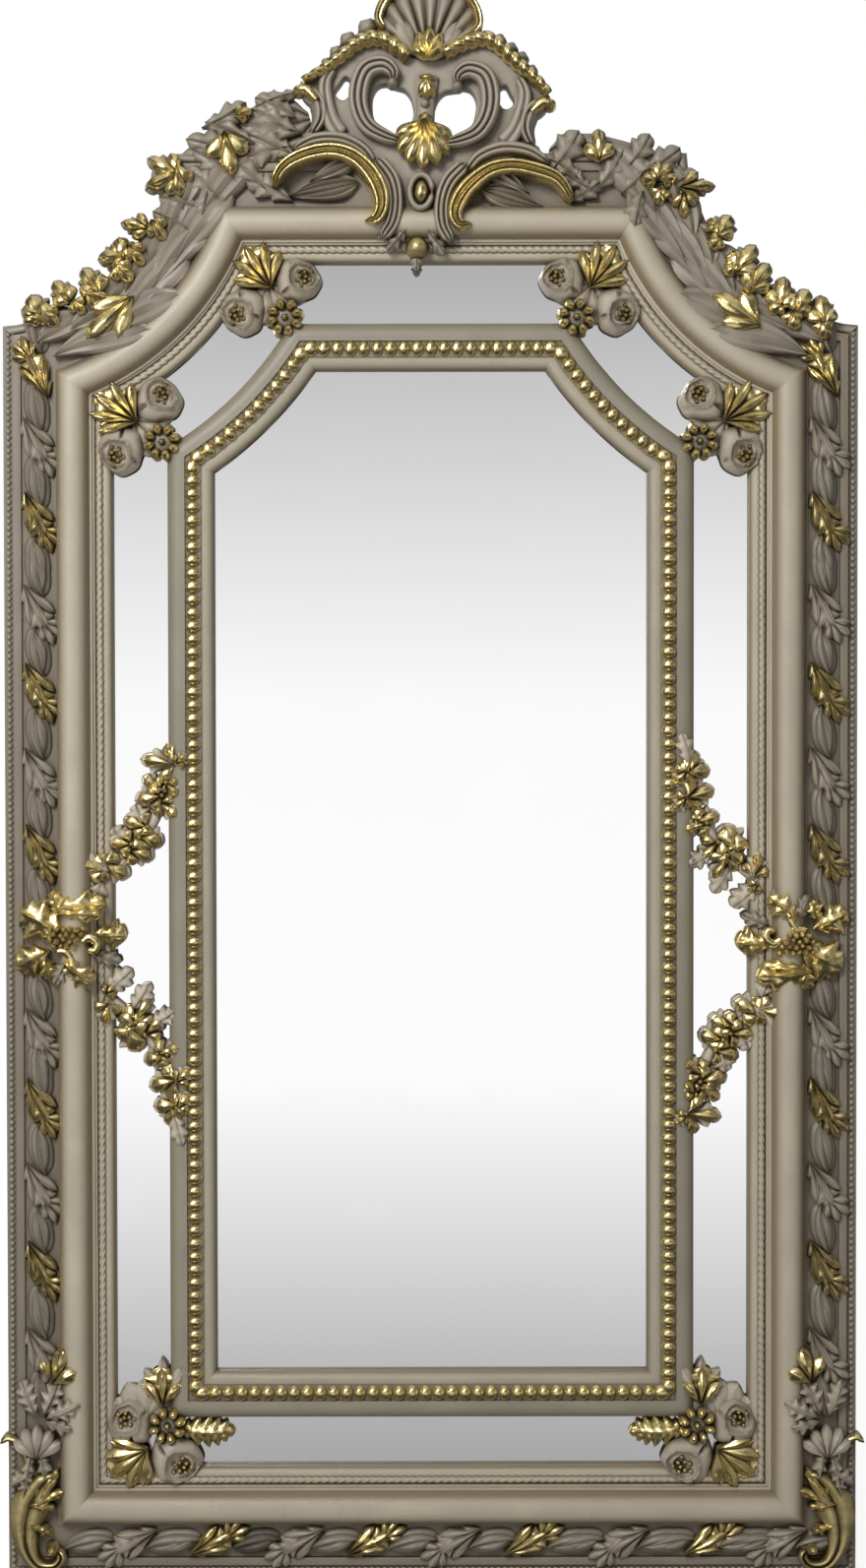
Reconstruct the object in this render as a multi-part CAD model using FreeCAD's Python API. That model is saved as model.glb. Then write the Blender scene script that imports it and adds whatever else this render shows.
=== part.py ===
import FreeCAD, Part
import math
import os

from FreeCAD import Vector

# Baroque wall mirror with a mirrored border: an outer moulded frame and an inner beaded frame
# share one outline of straight stiles and rails with two concave shoulders. Strip mirrors fill
# the border between them, and applied gilt and painted castings cover the joints.
# Millimetres. X right, Z up, the front faces -Y and the wall is the plane Y = 0.
# Z = 0 is the middle of the top rail.

# Outer frame
FRAME_WIDTH = 1000.0
FRAME_HEIGHT = 1670.0
MOULDING_WIDTH = 127.0
SHOULDER_RADIUS = 222.0
SHOULDER_CENTRE_OUT = 20.0

# Border and inner frame
STRIP_WIDTH = 65.0
INNER_WIDTH = 54.0
INNER_DROP = 6.0

# Depths in front of the wall
BOARD_BACK = 12.0
GLASS_BACK = 21.0
GLASS_THICKNESS = 5.0
LIP = 26.2
ROPE_SEAT = 42.0
PEARL_SEAT = 43.0
BAND_GROUND = 44.0
BAND_FILLET = 48.0
BEAD_SEAT = 44.0
TORUS_CREST = 66.0

# Rebates and seats, measured outward from each frame's sight edge
GLASS_LAP = 8.0
BOARD_LAP = 25.0
BOARD_REBATE = 26.0
SPINE_NEAR = 19.0
SPINE_FAR = 31.0
CENTRE_LAP = 17.0
STRIP_LAP = 33.0
JOINT_GAP = 0.3

# Applied mouldings
ROPE_LINE = 15.0
ROPE_RADIUS = 4.0
PEARL_LINE = 121.0
PEARL_RADIUS = 4.5
BAND_LINE = 87.0
BEAD_LINE = 25.0
BEAD_PITCH = 15.5
BEAD_HALF = 7.0
BEAD_RISE = 7.5

# Leaf band
BAND_PITCH = 190.0
BAND_LEAF = (52.0, 30.0)
BAND_POD = (42.0, 20.0)
BAND_RISE = 15.0
BAND_UP = (101.0, 13)
BAND_DOWN = (102.0, 8)
BAND_ALONG = (352.0, 16)

# Castings on the border: each leaf is its stem's place from the anchor, direction, length, width
CARTOUCHE = (-425.0, -855.0)
CARTOUCHE_LEAVES = (
    (-12, 9, 167, 50, 47), (-19, 35, 4, 63, 28), (37, 0, -2, 30, 28), (-31, -16, 197, 39, 33),
    (-5, -35, -23, 30, 19),
)
CARTOUCHE_CURL = ((-33, -18), (-26, -42), (-9, -44), (-1, -25), (-9, -14))
GRAPE_RADIUS = 6.0
GRAPE_ROWS = ((-14, 8, 4), (-8, -3, 3), (-2, -14, 2))
UPPER_GARLAND_LEAVES = (
    (125, 206, 172, 38, 19), (110, 173, 143, 27, 17), (109, 169, 191, 30, 21),
    (114, 184, -50, 20, 14), (106, 161, -39, 26, 16), (91, 132, 162, 27, 19), (82, 120, -13, 26, 21),
    (73, 112, 175, 27, 19), (70, 105, -20, 27, 19), (42, 82, 166, 29, 21), (39, 89, -27, 31, 21),
    (85, 132, 106, 21, 19), (38, 68, -108, 18, 14),
)
UPPER_GARLAND_STEM = ((135, 236), (127, 213), (112, 172), (91, 128), (62, 100), (37, 73), (28, 50))
LOWER_GARLAND_LEAVES = (
    (46, -74, -103, 26, 16), (79, -104, 143, 25, 21), (70, -101, -72, 31, 28),
    (77, -98, 62, 32, 16), (88, -113, 45, 28, 16), (114, -136, 198, 27, 19), (102, -136, 18, 27, 16),
    (126, -165, 197, 32, 21), (130, -194, 187, 30, 21), (126, -198, 49, 21, 16),
    (121, -194, -101, 25, 19), (73, -84, 57, 28, 16), (96, -101, 30, 23, 16), (44, -60, 40, 27, 19),
    (122, -206, -75, 28, 14),
)
LOWER_GARLAND_STEM = ((21, -43), (46, -70), (79, -101), (102, -132), (120, -165), (128, -194), (132, -222))
STEM_WIDTHS = (5, 7, 7, 5)

# Corner florets: a palmette to the outer corner, two roses and a gilt flower
LOWER_FLORET = (-342.5, -250.0)
LOWER_FLORET_LEAVES = ((0, 0, 152, 57, 14), (0, 0, 173, 47, 14), (0, 0, 197, 53, 14),
                       (0, 0, 125, 47, 15), (0, 0, 99, 46, 14))
LOWER_FLORET_ROSES = ((23, 27, 27), (-21, -31, 28))
LOWER_FLORET_FLOWER = (28, -22, 20)
UPPER_FLORET = (-186.5, -93.0)
UPPER_FLORET_LEAVES = ((0, 0, 169, 49, 14), (0, 0, 149, 47, 14), (0, 0, 128, 50, 15),
                       (0, 0, 104, 44, 15), (0, 0, 76, 44, 14))
UPPER_FLORET_ROSES = ((31, 10, 26), (-33, -26, 27))
UPPER_FLORET_FLOWER = (16, -34, 20)
BOTTOM_FLORET = (-334.5, -1459.5)
BOTTOM_FLORET_LEAVES = ((0, 0, 171, 45, 14), (0, 0, 216, 55, 19), (0, 0, -97, 45, 16), (38, 56, 91, 47, 18),
                        (36, 18, 7, 70, 16), (36, 15, -21, 59, 16), (-5, 48, 90, 35, 58))
BOTTOM_FLORET_ROSES = ((-20, 31, 27), (33, -26, 29))
BOTTOM_FLORET_FLOWER = (28, 24, 20)

# Foot sprays on the bottom corners
FOOT = (-462.0, -1462.0)
FOOT_LEAVES = (
    (23, 84, 88, 56, 23), (26, 93, 57, 39, 16), (21, 95, 115, 33, 14), (12, 60, 30, 39, 19),
    (-16, 0, 150, 35, 17), (14, 53, -16, 17, 14), (-14, -9, 203, 35, 28), (-9, 2, -96, 63, 19),
    (-9, -57, -17, 24, 14), (-9, -81, -33, 19, 14),
)
FOOT_ROSES = ((-5, 69, 17), (-2, 38, 21))
FOOT_SCROLL = ((26, -21), (2, -37), (-14, -70), (-16, -105), (-3, -129), (17, -131), (26, -119), (15, -112))
FOOT_WIDTHS = (4, 20, 30, 26, 17, 11, 10, 12)

# Sprays along the right shoulder, from the frame's own centre; the left one is its mirror image
SHOULDER_LEAVES = (
    (196, 48, 87, 40, 21), (291, 19, 9, 38, 15), (333, -31, 50, 29, 29),
    (346, -29, 225, 33, 23), (359, -69, 46, 32, 19), (366, -57, 228, 35, 21), (373, -92, 46, 35, 21),
    (389, -83, 210, 32, 19), (408, -122, 80, 39, 21), (419, -127, 51, 37, 21), (419, -110, -74, 34, 21),
    (459, -141, 96, 36, 19), (463, -131, 243, 26, 21), (407, -129, 153, 88, 22),
    (152, 41, 61, 53, 35), (203, 24, 58, 48, 30), (226, 9, 62, 49, 33), (291, -26, 33, 47, 30),
    (352, -90, 138, 94, 35), (480, -159, 177, 86, 26), (236, 12, 167, 66, 23),
)
SHOULDER_TORUS_LEAF = (261, 15, 235, 48, 30)
SHOULDER_FLOWER = (267, 27, 23)

# Crest, measured from the top rail's outer edge on the crest's own leaning axis
CREST_X = -10.0
CREST_LEAN = 3.2
CREST_BACK = 24.0
CREST_FACE = 72.0
CREST_ARCH = ((20, 112), (40, 127), (62, 131), (90, 117), (124, 88), (146, 72))
CREST_EAR = ((146, 72), (142, 56), (126, 42), (123, 24), (138, 8))
CREST_WAIST = ((138, 8), (112, 1), (92, -9), (70, -27), (48, -48), (38, -74), (37, -96), (20, -112),
               (0, -119))
CREST_EYE = (42, 47, 29)
CREST_SLOT = (98, 62, 9)
CREST_LOOP = (36.0, 15.0)
CREST_SCROLL = ((171, -55), (155, -21), (128, -8), (99, -8), (74, -18), (57, -41), (47, -64), (45, -82),
                (54, -92), (68, -88))
SCROLL_WIDTHS = (8, 13, 14, 14, 13, 12, 11, 9)
GADROON_LINE = ((24, 104), (42, 118), (62, 121), (87, 107), (119, 79), (139, 66))
GADROON_WIDTHS = (13, 16, 16, 15, 13, 9)
SHELL_BASE = (0, 104)
SHELL_LEAVES = ((90, 97, 26), (72, 95, 25), (108, 95, 25), (54, 84, 25), (126, 84, 25), (34, 66, 26),
                (146, 66, 26))
BUD = (0, 124, 17)
PALMETTE_BASE = (0, 34)
PALMETTE_LEAVES = ((-90, 56, 17), (-66, 56, 17), (-114, 56, 17), (-42, 46, 16), (-138, 46, 16))
DROP_BUD = (0, 70, 11)
CABOCHON = (0, -48, 9, 15)
PENDANT = (0, -94, -90, 48, 24)

# Fasteners and hangers
SCREW_RADIUS = 2.0
SCREW_HEAD = 4.2
SCREW_HEAD_RISE = 2.2
KEY_SIZE = (64.0, 22.0, 7.0)
DOWEL_RADIUS = 5.0
DOWEL_SPREAD = 70.0
DOWEL_DEPTH = 34.0
HANGER_Z = -400.0
HANGER_LINE = 76.0
POCKET_DEPTH = 9.0
PIVOT_DEPTH = 5.0
RING_WIRE = 2.0
RING_PLAY = 0.09
RING_HALF = 18.0
RING_LEG = 14.0
STRAP_LENGTH = 72.0
STRAP_HALF = 9.0
STRAP_THICKNESS = 1.6

# A leaf this wide has lobes; petals of the flowers are this wide; turned forms have this many sides
LOBED = 29.0
PETAL = 23.0
SIDES = 8
SMALL_SIDES = 6

# Shoulders are swept in flats between these angles, past both mitres, which are bowed in flats too
SHOULDER_FLATS = 12
MITRE_FLATS = 3
SHOULDER_SWEEP = (172.0, 278.0)

# Cutting bodies reach this far past what they cut
REACH = 60.0
MARGIN = 6.0

MIRROR_X = (Vector(0, 0, 0), Vector(1, 0, 0))


class Outline:
    """Sight line of a frame: straight stiles and rails with two concave shoulders."""

    def __init__(self, half, top, bottom, centre, radius, width):
        self.half = half
        self.top = top
        self.bottom = bottom
        self.centre = centre
        self.radius = radius
        self.width = width

    def bottom_corner(self, out):
        return Vector(self.half + out, 0, self.bottom - out)

    def stile_corner(self, out):
        x = self.half + out
        run = self.centre[0] - x
        return Vector(x, 0, self.centre[1] - math.sqrt((self.radius - out) ** 2 - run ** 2))

    def top_corner(self, out):
        z = self.top + out
        rise = self.centre[1] - z
        return Vector(self.centre[0] - math.sqrt((self.radius - out) ** 2 - rise ** 2), 0, z)

    def shoulder_point(self, out, share):
        """A point on the shoulder arc, from the stile corner (0) to the top corner (1)."""
        ends = []
        for corner in (self.stile_corner(out), self.top_corner(out)):
            ends.append(math.atan2(corner.z - self.centre[1], corner.x - self.centre[0]))
        angle = ends[0] + (ends[1] - ends[0]) * share
        reach = self.radius - out
        return Vector(self.centre[0] + reach * math.cos(angle), 0,
                      self.centre[1] + reach * math.sin(angle))

    def shoulder_line(self, out):
        """The shoulder at one offset as edges, in the same short flats as its moulding."""
        points = [self.shoulder_point(out, i / SHOULDER_FLATS) for i in range(SHOULDER_FLATS + 1)]
        return [line(start, end) for start, end in zip(points, points[1:])]

    def mitre(self, corner):
        """The bowed mitre where a straight member meets a shoulder, in short flats."""
        reach = self.width + 2 * MARGIN
        points = [corner(-MARGIN + reach * i / MITRE_FLATS) for i in range(MITRE_FLATS + 1)]
        return [line(start, end) for start, end in zip(points, points[1:])]

    def regions(self):
        """Prisms that hold each right-hand member between its mitres."""
        near = -MARGIN
        far = self.width + MARGIN
        stile = self.mitre(self.stile_corner)
        top = self.mitre(self.top_corner)
        corners = {}
        for name in ("bottom_corner", "stile_corner", "top_corner"):
            corners[name] = (getattr(self, name)(near), getattr(self, name)(far))
        bottom = corners["bottom_corner"]
        inside = Vector(corners["top_corner"][0].x - REACH, 0, corners["stile_corner"][0].z - REACH)
        left_top = [edge.mirror(*MIRROR_X) for edge in top]
        return {
            "stile": prism(stile + [line(corners["stile_corner"][1], bottom[1]), line(bottom[1], bottom[0]),
                                    line(bottom[0], corners["stile_corner"][0])]),
            "shoulder": prism(stile + top + [line(corners["stile_corner"][1], corners["top_corner"][1]),
                                             line(corners["top_corner"][0], inside),
                                             line(inside, corners["stile_corner"][0])]),
            "top": prism(top + left_top + [
                line(corners["top_corner"][1], flip(corners["top_corner"][1])),
                line(flip(corners["top_corner"][0]), corners["top_corner"][0])]),
            "bottom": prism([line(bottom[0], bottom[1]), line(bottom[1], flip(bottom[1])),
                             line(flip(bottom[1]), flip(bottom[0])), line(flip(bottom[0]), bottom[0])]),
        }

    def bow(self, points):
        """A profile swept round the shoulder in short flats, past both of its mitres."""
        first, last = SHOULDER_SWEEP
        rings = []
        for i in range(SHOULDER_FLATS + 1):
            turn = math.radians(first + (last - first) * i / SHOULDER_FLATS)
            ring = []
            for out, v in points:
                reach = self.radius - out
                ring.append(Vector(self.centre[0] + reach * math.cos(turn), -v,
                                   self.centre[1] + reach * math.sin(turn)))
            rings.append(ring)
        polygons = [rings[0], rings[-1]]
        for here, there in zip(rings, rings[1:]):
            for i in range(len(points)):
                j = (i + 1) % len(points)
                polygons.append([here[i], here[j], there[j], there[i]])
        return facets(polygons)

    def members(self, points):
        """A profile run round the outline, as six mitred members."""
        regions = self.regions()
        stile = section(points, lambda out, v: Vector(self.half + out, -v, self.bottom - 3 * REACH))
        stile = stile.extrude(Vector(0, 0, self.top - self.bottom + 4 * REACH))
        stile = stile.common(regions["stile"])
        shoulder = self.bow(points).common(regions["shoulder"])
        across = 2 * (self.half + self.width + REACH)
        top = section(points, lambda out, v: Vector(-across / 2, -v, self.top + out))
        top = top.extrude(Vector(across, 0, 0)).common(regions["top"])
        bottom = section(points, lambda out, v: Vector(-across / 2, -v, self.bottom - out))
        bottom = bottom.extrude(Vector(across, 0, 0)).common(regions["bottom"])
        return {
            "left_stile": stile.mirror(*MIRROR_X),
            "right_stile": stile,
            "left_shoulder": shoulder.mirror(*MIRROR_X),
            "right_shoulder": shoulder,
            "top": top,
            "bottom": bottom,
        }

    def loop(self, out):
        """The whole outline at one offset, as a closed wire."""
        right = self.shoulder_line(out)
        left = [edge.mirror(*MIRROR_X) for edge in right]
        bottom = self.bottom_corner(out)
        stile = self.stile_corner(out)
        top = self.top_corner(out)
        straight = [line(flip(bottom), bottom), line(bottom, stile), line(top, flip(top)),
                    line(flip(stile), flip(bottom))]
        return Part.Wire(Part.__sortEdges__(straight + right + left))


def line(start, end):
    return Part.makeLine(start, end)


def flip(point):
    return Vector(-point.x, point.y, point.z)


def prism(edges):
    """A cutting body through the whole depth, from an outline in the wall plane."""
    face = Part.Face(Part.Wire(Part.__sortEdges__(edges)))
    face.translate(Vector(0, REACH, 0))
    return face.extrude(Vector(0, -4 * REACH, 0))


def section(points, place):
    """A face from the corners of a profile."""
    corners = [place(*point) for point in points]
    return Part.Face(Part.makePolygon(corners + corners[:1]))


def rounded(start, through, end, steps):
    """A round stretch of a profile, as points along its arc after the start."""
    arc = Part.Arc(Vector(*start, 0), Vector(*through, 0), Vector(*end, 0))
    span = arc.LastParameter - arc.FirstParameter
    points = [arc.value(arc.FirstParameter + span * i / steps) for i in range(1, steps + 1)]
    return [(point.x, point.y) for point in points]


def slab(wire, back, front):
    """A flat wire in the wall plane as a plate between two depths."""
    face = Part.Face(wire)
    face.translate(Vector(0, -back, 0))
    return face.extrude(Vector(0, back - front, 0))


def union(shapes):
    if len(shapes) == 1:
        return shapes[0]
    return shapes[0].multiFuse(shapes[1:]).removeSplitter()


def both(shape):
    """A right-hand shape and its mirror image, left first."""
    return shape.mirror(*MIRROR_X), shape


def facets(polygons):
    """A solid from its flat faces."""
    faces = [Part.Face(Part.makePolygon(corners + corners[:1])) for corners in polygons]
    body = Part.makeSolid(Part.makeShell(faces))
    if body.Volume < 0:
        body.reverse()
    return body


def rod(start, run, radius, sides):
    """A straight rod with flat sides."""
    along = run * (1 / run.Length)
    across = Vector(1, 0, 0) if abs(along.x) < 0.5 else Vector(0, 0, 1)
    other = along.cross(across)
    corners = []
    for i in range(sides):
        turn = 2 * math.pi * (i + 0.5) / sides
        corners.append(start + across * (radius * math.cos(turn)) + other * (radius * math.sin(turn)))
    return Part.Face(Part.makePolygon(corners + corners[:1])).extrude(run)


def turned(x, z, base, profile, sides=SIDES, stretch=1.0):
    """A faceted boss square to the wall, from its rim's (radius, rise) to a point on the axis."""
    rings = []
    for radius, rise in profile[:-1]:
        ring = []
        for i in range(sides):
            turn = 2 * math.pi * i / sides
            ring.append(Vector(x + radius * math.cos(turn), -base - rise,
                               z + radius * stretch * math.sin(turn)))
        rings.append(ring)
    tip = Vector(x, -base - profile[-1][1], z)
    polygons = [rings[0]]
    for low, high in zip(rings, rings[1:]):
        for i in range(sides):
            j = (i + 1) % sides
            polygons.append([low[i], low[j], high[j], high[i]])
    for i in range(sides):
        polygons.append([rings[-1][i], rings[-1][(i + 1) % sides], tip])
    return facets(polygons)


# Outer and inner frames

def outer_outline():
    half = FRAME_WIDTH / 2 - MOULDING_WIDTH
    top = -MOULDING_WIDTH / 2
    bottom = MOULDING_WIDTH / 2 - FRAME_HEIGHT + MOULDING_WIDTH
    centre = (FRAME_WIDTH / 2 + SHOULDER_CENTRE_OUT, MOULDING_WIDTH / 2 + SHOULDER_CENTRE_OUT)
    return Outline(half, top, bottom, centre, SHOULDER_RADIUS + MOULDING_WIDTH, MOULDING_WIDTH)


def inner_outline(outer):
    step = STRIP_WIDTH + INNER_WIDTH
    centre = (outer.centre[0], outer.centre[1] - INNER_DROP)
    return Outline(outer.half - step, outer.top - step - INNER_DROP, outer.bottom + step - INNER_DROP,
                   centre, outer.radius + step, INNER_WIDTH)


def outer_profile():
    """Sight lip, rope seat, two steps, torus, groove, leaf band, fillet, pearl edge, back rebates."""
    lip = rounded((0, 33), (2.6, 39.4), (10, ROPE_SEAT), 2)
    torus = rounded((33, 50), (48, TORUS_CREST), (64, 54), 5)
    return [
        (0, LIP), (0, 33), *lip, (20, ROPE_SEAT), (20, 46), (25, 46), (25, 50), (33, 50), *torus,
        (64, 47), (68, 47), (68, BAND_GROUND), (106, BAND_GROUND), (106, BAND_FILLET), (115, BAND_FILLET),
        (115, PEARL_SEAT), (MOULDING_WIDTH, PEARL_SEAT), (MOULDING_WIDTH, 0), (BOARD_REBATE, 0),
        (BOARD_REBATE, GLASS_BACK), (10, GLASS_BACK), (10, LIP),
    ]


def inner_profile():
    """Two lips over the glass edges, bead seat between fillets, and a spine down to the backboard."""
    near = rounded((0, 32), (3.4, 39.2), (13, 42), 2)
    far = rounded((39, 47), (49.5, 43.2), (INNER_WIDTH, 34), 2)
    return [
        (0, LIP), (0, 32), *near, (15, 42), (15, BEAD_SEAT), (35, BEAD_SEAT), (35, 47), (39, 47), *far,
        (INNER_WIDTH, LIP), (SPINE_FAR, LIP), (SPINE_FAR, GLASS_BACK), (SPINE_NEAR, GLASS_BACK),
        (SPINE_NEAR, LIP),
    ]


def outer_bed():
    """The outer moulding and its edgings in straight lines, as the castings sit on it."""
    rope = ROPE_SEAT + ROPE_RADIUS
    return [
        (0, LIP), (0, rope), (25, rope), (25, 50), (33, 50), (33, 60), (39, TORUS_CREST), (57, TORUS_CREST),
        (64, 58), (64, BAND_FILLET), (MOULDING_WIDTH, BAND_FILLET), (MOULDING_WIDTH, 0), (0, 0),
    ]


def inner_bed():
    """The inner moulding and its beads in straight lines, as the castings sit on it."""
    bead = BEAD_SEAT + BEAD_RISE
    return [
        (0, LIP), (0, 36), (6, 42), (15, 42), (BEAD_LINE - BEAD_HALF, bead), (BEAD_LINE + BEAD_HALF, bead),
        (39, 47), (49, 44), (INNER_WIDTH, 36), (INNER_WIDTH, LIP),
    ]


def half_round(centre, seat, radius):
    """A small applied moulding with three flats."""
    return [(centre - radius, seat), (centre - radius / 2, seat + radius * 0.87),
            (centre + radius / 2, seat + radius * 0.87), (centre + radius, seat)]


# Glass and backboard

def plate(edges):
    face = Part.Face(Part.Wire(Part.__sortEdges__(edges))).makeOffset2D(-JOINT_GAP)
    face.translate(Vector(0, -GLASS_BACK, 0))
    return face.extrude(Vector(0, -GLASS_THICKNESS, 0))


def border_mirrors(outer, inner):
    names = ("bottom_corner", "stile_corner", "top_corner")
    out = {name: getattr(outer, name)(GLASS_LAP) for name in names}
    into = {name: getattr(inner, name)(STRIP_LAP) for name in names}
    bottom, stile, top = (out[name] for name in names)
    in_bottom, in_stile, in_top = (into[name] for name in names)
    side = plate([line(bottom, stile), line(stile, in_stile), line(in_stile, in_bottom),
                  line(in_bottom, bottom)])
    shoulder = plate(outer.shoulder_line(GLASS_LAP) + inner.shoulder_line(STRIP_LAP)
                     + [line(top, in_top), line(in_stile, stile)])
    low = plate([line(flip(bottom), bottom), line(bottom, in_bottom), line(in_bottom, flip(in_bottom)),
                 line(flip(in_bottom), flip(bottom))])
    high = plate([line(flip(top), top), line(top, in_top), line(in_top, flip(in_top)),
                  line(flip(in_top), flip(top))])
    mirrors = {"bottom_mirror_strip": low, "top_mirror_strip": high}
    mirrors["left_mirror_strip"], mirrors["right_mirror_strip"] = both(side)
    mirrors["left_shoulder_mirror"], mirrors["right_shoulder_mirror"] = both(shoulder)
    mirrors["centre_mirror"] = slab(inner.loop(CENTRE_LAP), GLASS_BACK, GLASS_BACK + GLASS_THICKNESS)
    return mirrors


def screw(point, depth):
    """A flat-headed screw driven from the back of the board towards the front."""
    back = Vector(point.x, -BOARD_BACK, point.z)
    head = rod(back, Vector(0, SCREW_HEAD_RISE, 0), SCREW_HEAD, SMALL_SIDES)
    return head.fuse(rod(back, Vector(0, -depth, 0), SCREW_RADIUS, SMALL_SIDES))


def board_screws(outer, inner):
    """Screws round the board's edge into the outer frame, and through it into the inner frame."""
    edge = (BOARD_REBATE + 10) / 2
    spine = (SPINE_NEAR + SPINE_FAR) / 2
    places = []
    for outline, out, depth, rows in ((outer, edge, 20.0, (0.1, 0.9)), (inner, spine, 24.0, (0.5,))):
        low = outline.bottom_corner(out)
        high = outline.stile_corner(out)
        for share in rows:
            places.append((Vector(low.x, 0, low.z + (high.z - low.z) * share), depth))
    places.append((Vector(outer.half * 0.6, 0, outer.bottom - edge), 20.0))
    places.append((Vector(outer.top_corner(edge).x * 0.6, 0, outer.top + edge), 20.0))
    screws = []
    for point, depth in places:
        screws += [screw(point, depth), screw(flip(point), depth)]
    return screws


def corner_keys(outer):
    """Flat hardwood keys let into the back across the six mitres."""
    long, wide, thick = KEY_SIZE
    middle = (BOARD_REBATE + MOULDING_WIDTH) / 2
    keys = []
    for corner in (outer.bottom_corner, outer.stile_corner, outer.top_corner):
        run = corner(middle + 1) - corner(middle - 1)
        angle = math.degrees(math.atan2(run.x, run.z))
        key = Part.makeBox(long, thick, wide, Vector(-long / 2, -thick, -wide / 2))
        key.rotate(Vector(0, 0, 0), Vector(0, 1, 0), angle)
        key.translate(corner(middle))
        keys += both(key)
    return keys


# Hangers at the back

def hanger_pocket(x):
    half = RING_HALF + RING_WIRE + 3
    up = RING_HALF + RING_LEG + 9
    down = STRAP_LENGTH + 5
    return Part.makeBox(2 * half, POCKET_DEPTH + 1, up + down,
                        Vector(x - half, -POCKET_DEPTH, HANGER_Z - down))


def hanger_strap(x):
    """A steel strap folded round the ring's bar, flat on the pocket's floor."""
    pivot = Vector(x - STRAP_HALF, -PIVOT_DEPTH, HANGER_Z)
    across = Vector(2 * STRAP_HALF, 0, 0)
    eye = rod(pivot, across, POCKET_DEPTH - PIVOT_DEPTH, SIDES)
    flat = Part.makeBox(2 * STRAP_HALF, STRAP_THICKNESS, STRAP_LENGTH,
                        Vector(x - STRAP_HALF, -POCKET_DEPTH, HANGER_Z - STRAP_LENGTH))
    bore = rod(pivot, across, RING_WIRE + RING_PLAY, 2 * SIDES)
    return eye.fuse(flat).cut(bore)


def hanger_ring(x):
    """A wire ring with a straight bar, hanging down from the strap's eye."""
    origin = Vector(x, -PIVOT_DEPTH, HANGER_Z)
    path = [origin, origin + Vector(RING_HALF, 0, 0)]
    for i in range(6):
        turn = math.pi * i / 5
        path.append(origin + Vector(RING_HALF * math.cos(turn), 0,
                                    -RING_LEG - RING_HALF * math.sin(turn)))
    path += [origin - Vector(RING_HALF, 0, 0), origin]
    wire = rod(origin, Vector(1, 0, 0), RING_WIRE, SIDES).Faces
    start = min(wire, key=lambda face: face.CenterOfMass.x).OuterWire
    pipe = Part.BRepOffsetAPI.MakePipeShell(Part.makePolygon(path))
    pipe.setTransitionMode(1)
    pipe.add(start)
    pipe.build()
    pipe.makeSolid()
    return pipe.shape()


def hanger_screws(x):
    screws = []
    for drop in (46.0, 62.0):
        top = Vector(x, STRAP_THICKNESS - POCKET_DEPTH, HANGER_Z - drop)
        head = rod(top, Vector(0, 1.8, 0), 3.4, SMALL_SIDES)
        screws.append(head.fuse(rod(top, Vector(0, -16, 0), 1.8, SMALL_SIDES)))
    return screws


# Carved forms

def leaf(x, z, angle, length, width, base, rise, wall=0.0):
    """A pointed, ridged leaf from stem to tip; a wide one has two pairs of lobes."""
    turn = math.radians(angle)

    def place(along, across, v):
        a = along * length
        b = across * width
        return Vector(x + a * math.cos(turn) - b * math.sin(turn), -v,
                      z + a * math.sin(turn) + b * math.cos(turn))

    lobed = width >= LOBED
    if lobed:
        outline = [(0, 0), (0.24, -0.42), (0.42, -0.27), (0.62, -0.5), (1, 0), (0.62, 0.5), (0.42, 0.27),
                   (0.24, 0.42)]
    else:
        outline = [(0, 0), (0.5, -0.5), (1, 0), (0.5, 0.5)]
    count = len(outline)
    foot = [place(a, b, base) for a, b in outline]
    rim = [place(a, b, base + wall) for a, b in outline]
    crown = place(0.56, 0, base + rise)
    heel = place(0.22, 0, base + rise * 0.85)
    polygons = [foot]
    for i in range(count):
        j = (i + 1) % count
        peak = heel if lobed and i in (0, 1, 6, 7) else crown
        polygons.append([rim[i], rim[j], peak])
        if wall:
            polygons.append([foot[i], foot[j], rim[j], rim[i]])
    if lobed:
        polygons += [[heel, crown, rim[2]], [heel, crown, rim[6]]]
    return facets(polygons)


def rose(x, z, radius, base, rise):
    """A round rose, cupped in the middle."""
    return turned(x, z, base, [(radius, 0), (radius, rise * 0.55), (radius * 0.6, rise), (0, rise * 0.75)])


def flower(x, z, radius, base, rise):
    """Five petals round a small eye."""
    petals = [leaf(x, z, 90 + 72 * i, radius, PETAL, base, rise) for i in range(5)]
    eye = radius * 0.3
    return petals + [turned(x, z, base, [(eye, 0), (eye, rise), (0, rise * 1.15)], SMALL_SIDES)]


def leaves(rows, anchor, base, rise, wall=0.0):
    """Leaves of one casting, each by its stem's place, direction, length and width."""
    return [leaf(anchor[0] + x, anchor[1] + z, angle, length, width, base, rise, wall)
            for x, z, angle, length, width in rows]


def smooth(points, steps):
    """Points along a smooth line through the given ones."""
    spline = Part.BSplineCurve()
    spline.interpolate([Vector(u, 0, w) for u, w in points])
    span = spline.LastParameter - spline.FirstParameter
    return [spline.value(spline.FirstParameter + span * i / steps) for i in range(steps + 1)]


def ribbon(points, widths, back, front, flats=2):
    """A scroll of changing width along a smooth line, square to the wall."""
    steps = flats * (len(points) - 1)
    spine = smooth(points, steps)
    sides = ([], [])
    for i, here in enumerate(spine):
        ahead = spine[min(i + 1, steps)] - spine[max(i - 1, 0)]
        across = Vector(-ahead.z, 0, ahead.x) * (1 / ahead.Length)
        at = i / steps * (len(widths) - 1)
        k = min(int(at), len(widths) - 2)
        wide = widths[k] + (widths[k + 1] - widths[k]) * (at - k)
        sides[0].append(here + across * (wide / 2))
        sides[1].append(here - across * (wide / 2))
    outline = sides[0] + sides[1][::-1]
    return slab(Part.makePolygon(outline + outline[:1]), back, front)


# Beads, bands and edgings

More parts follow.
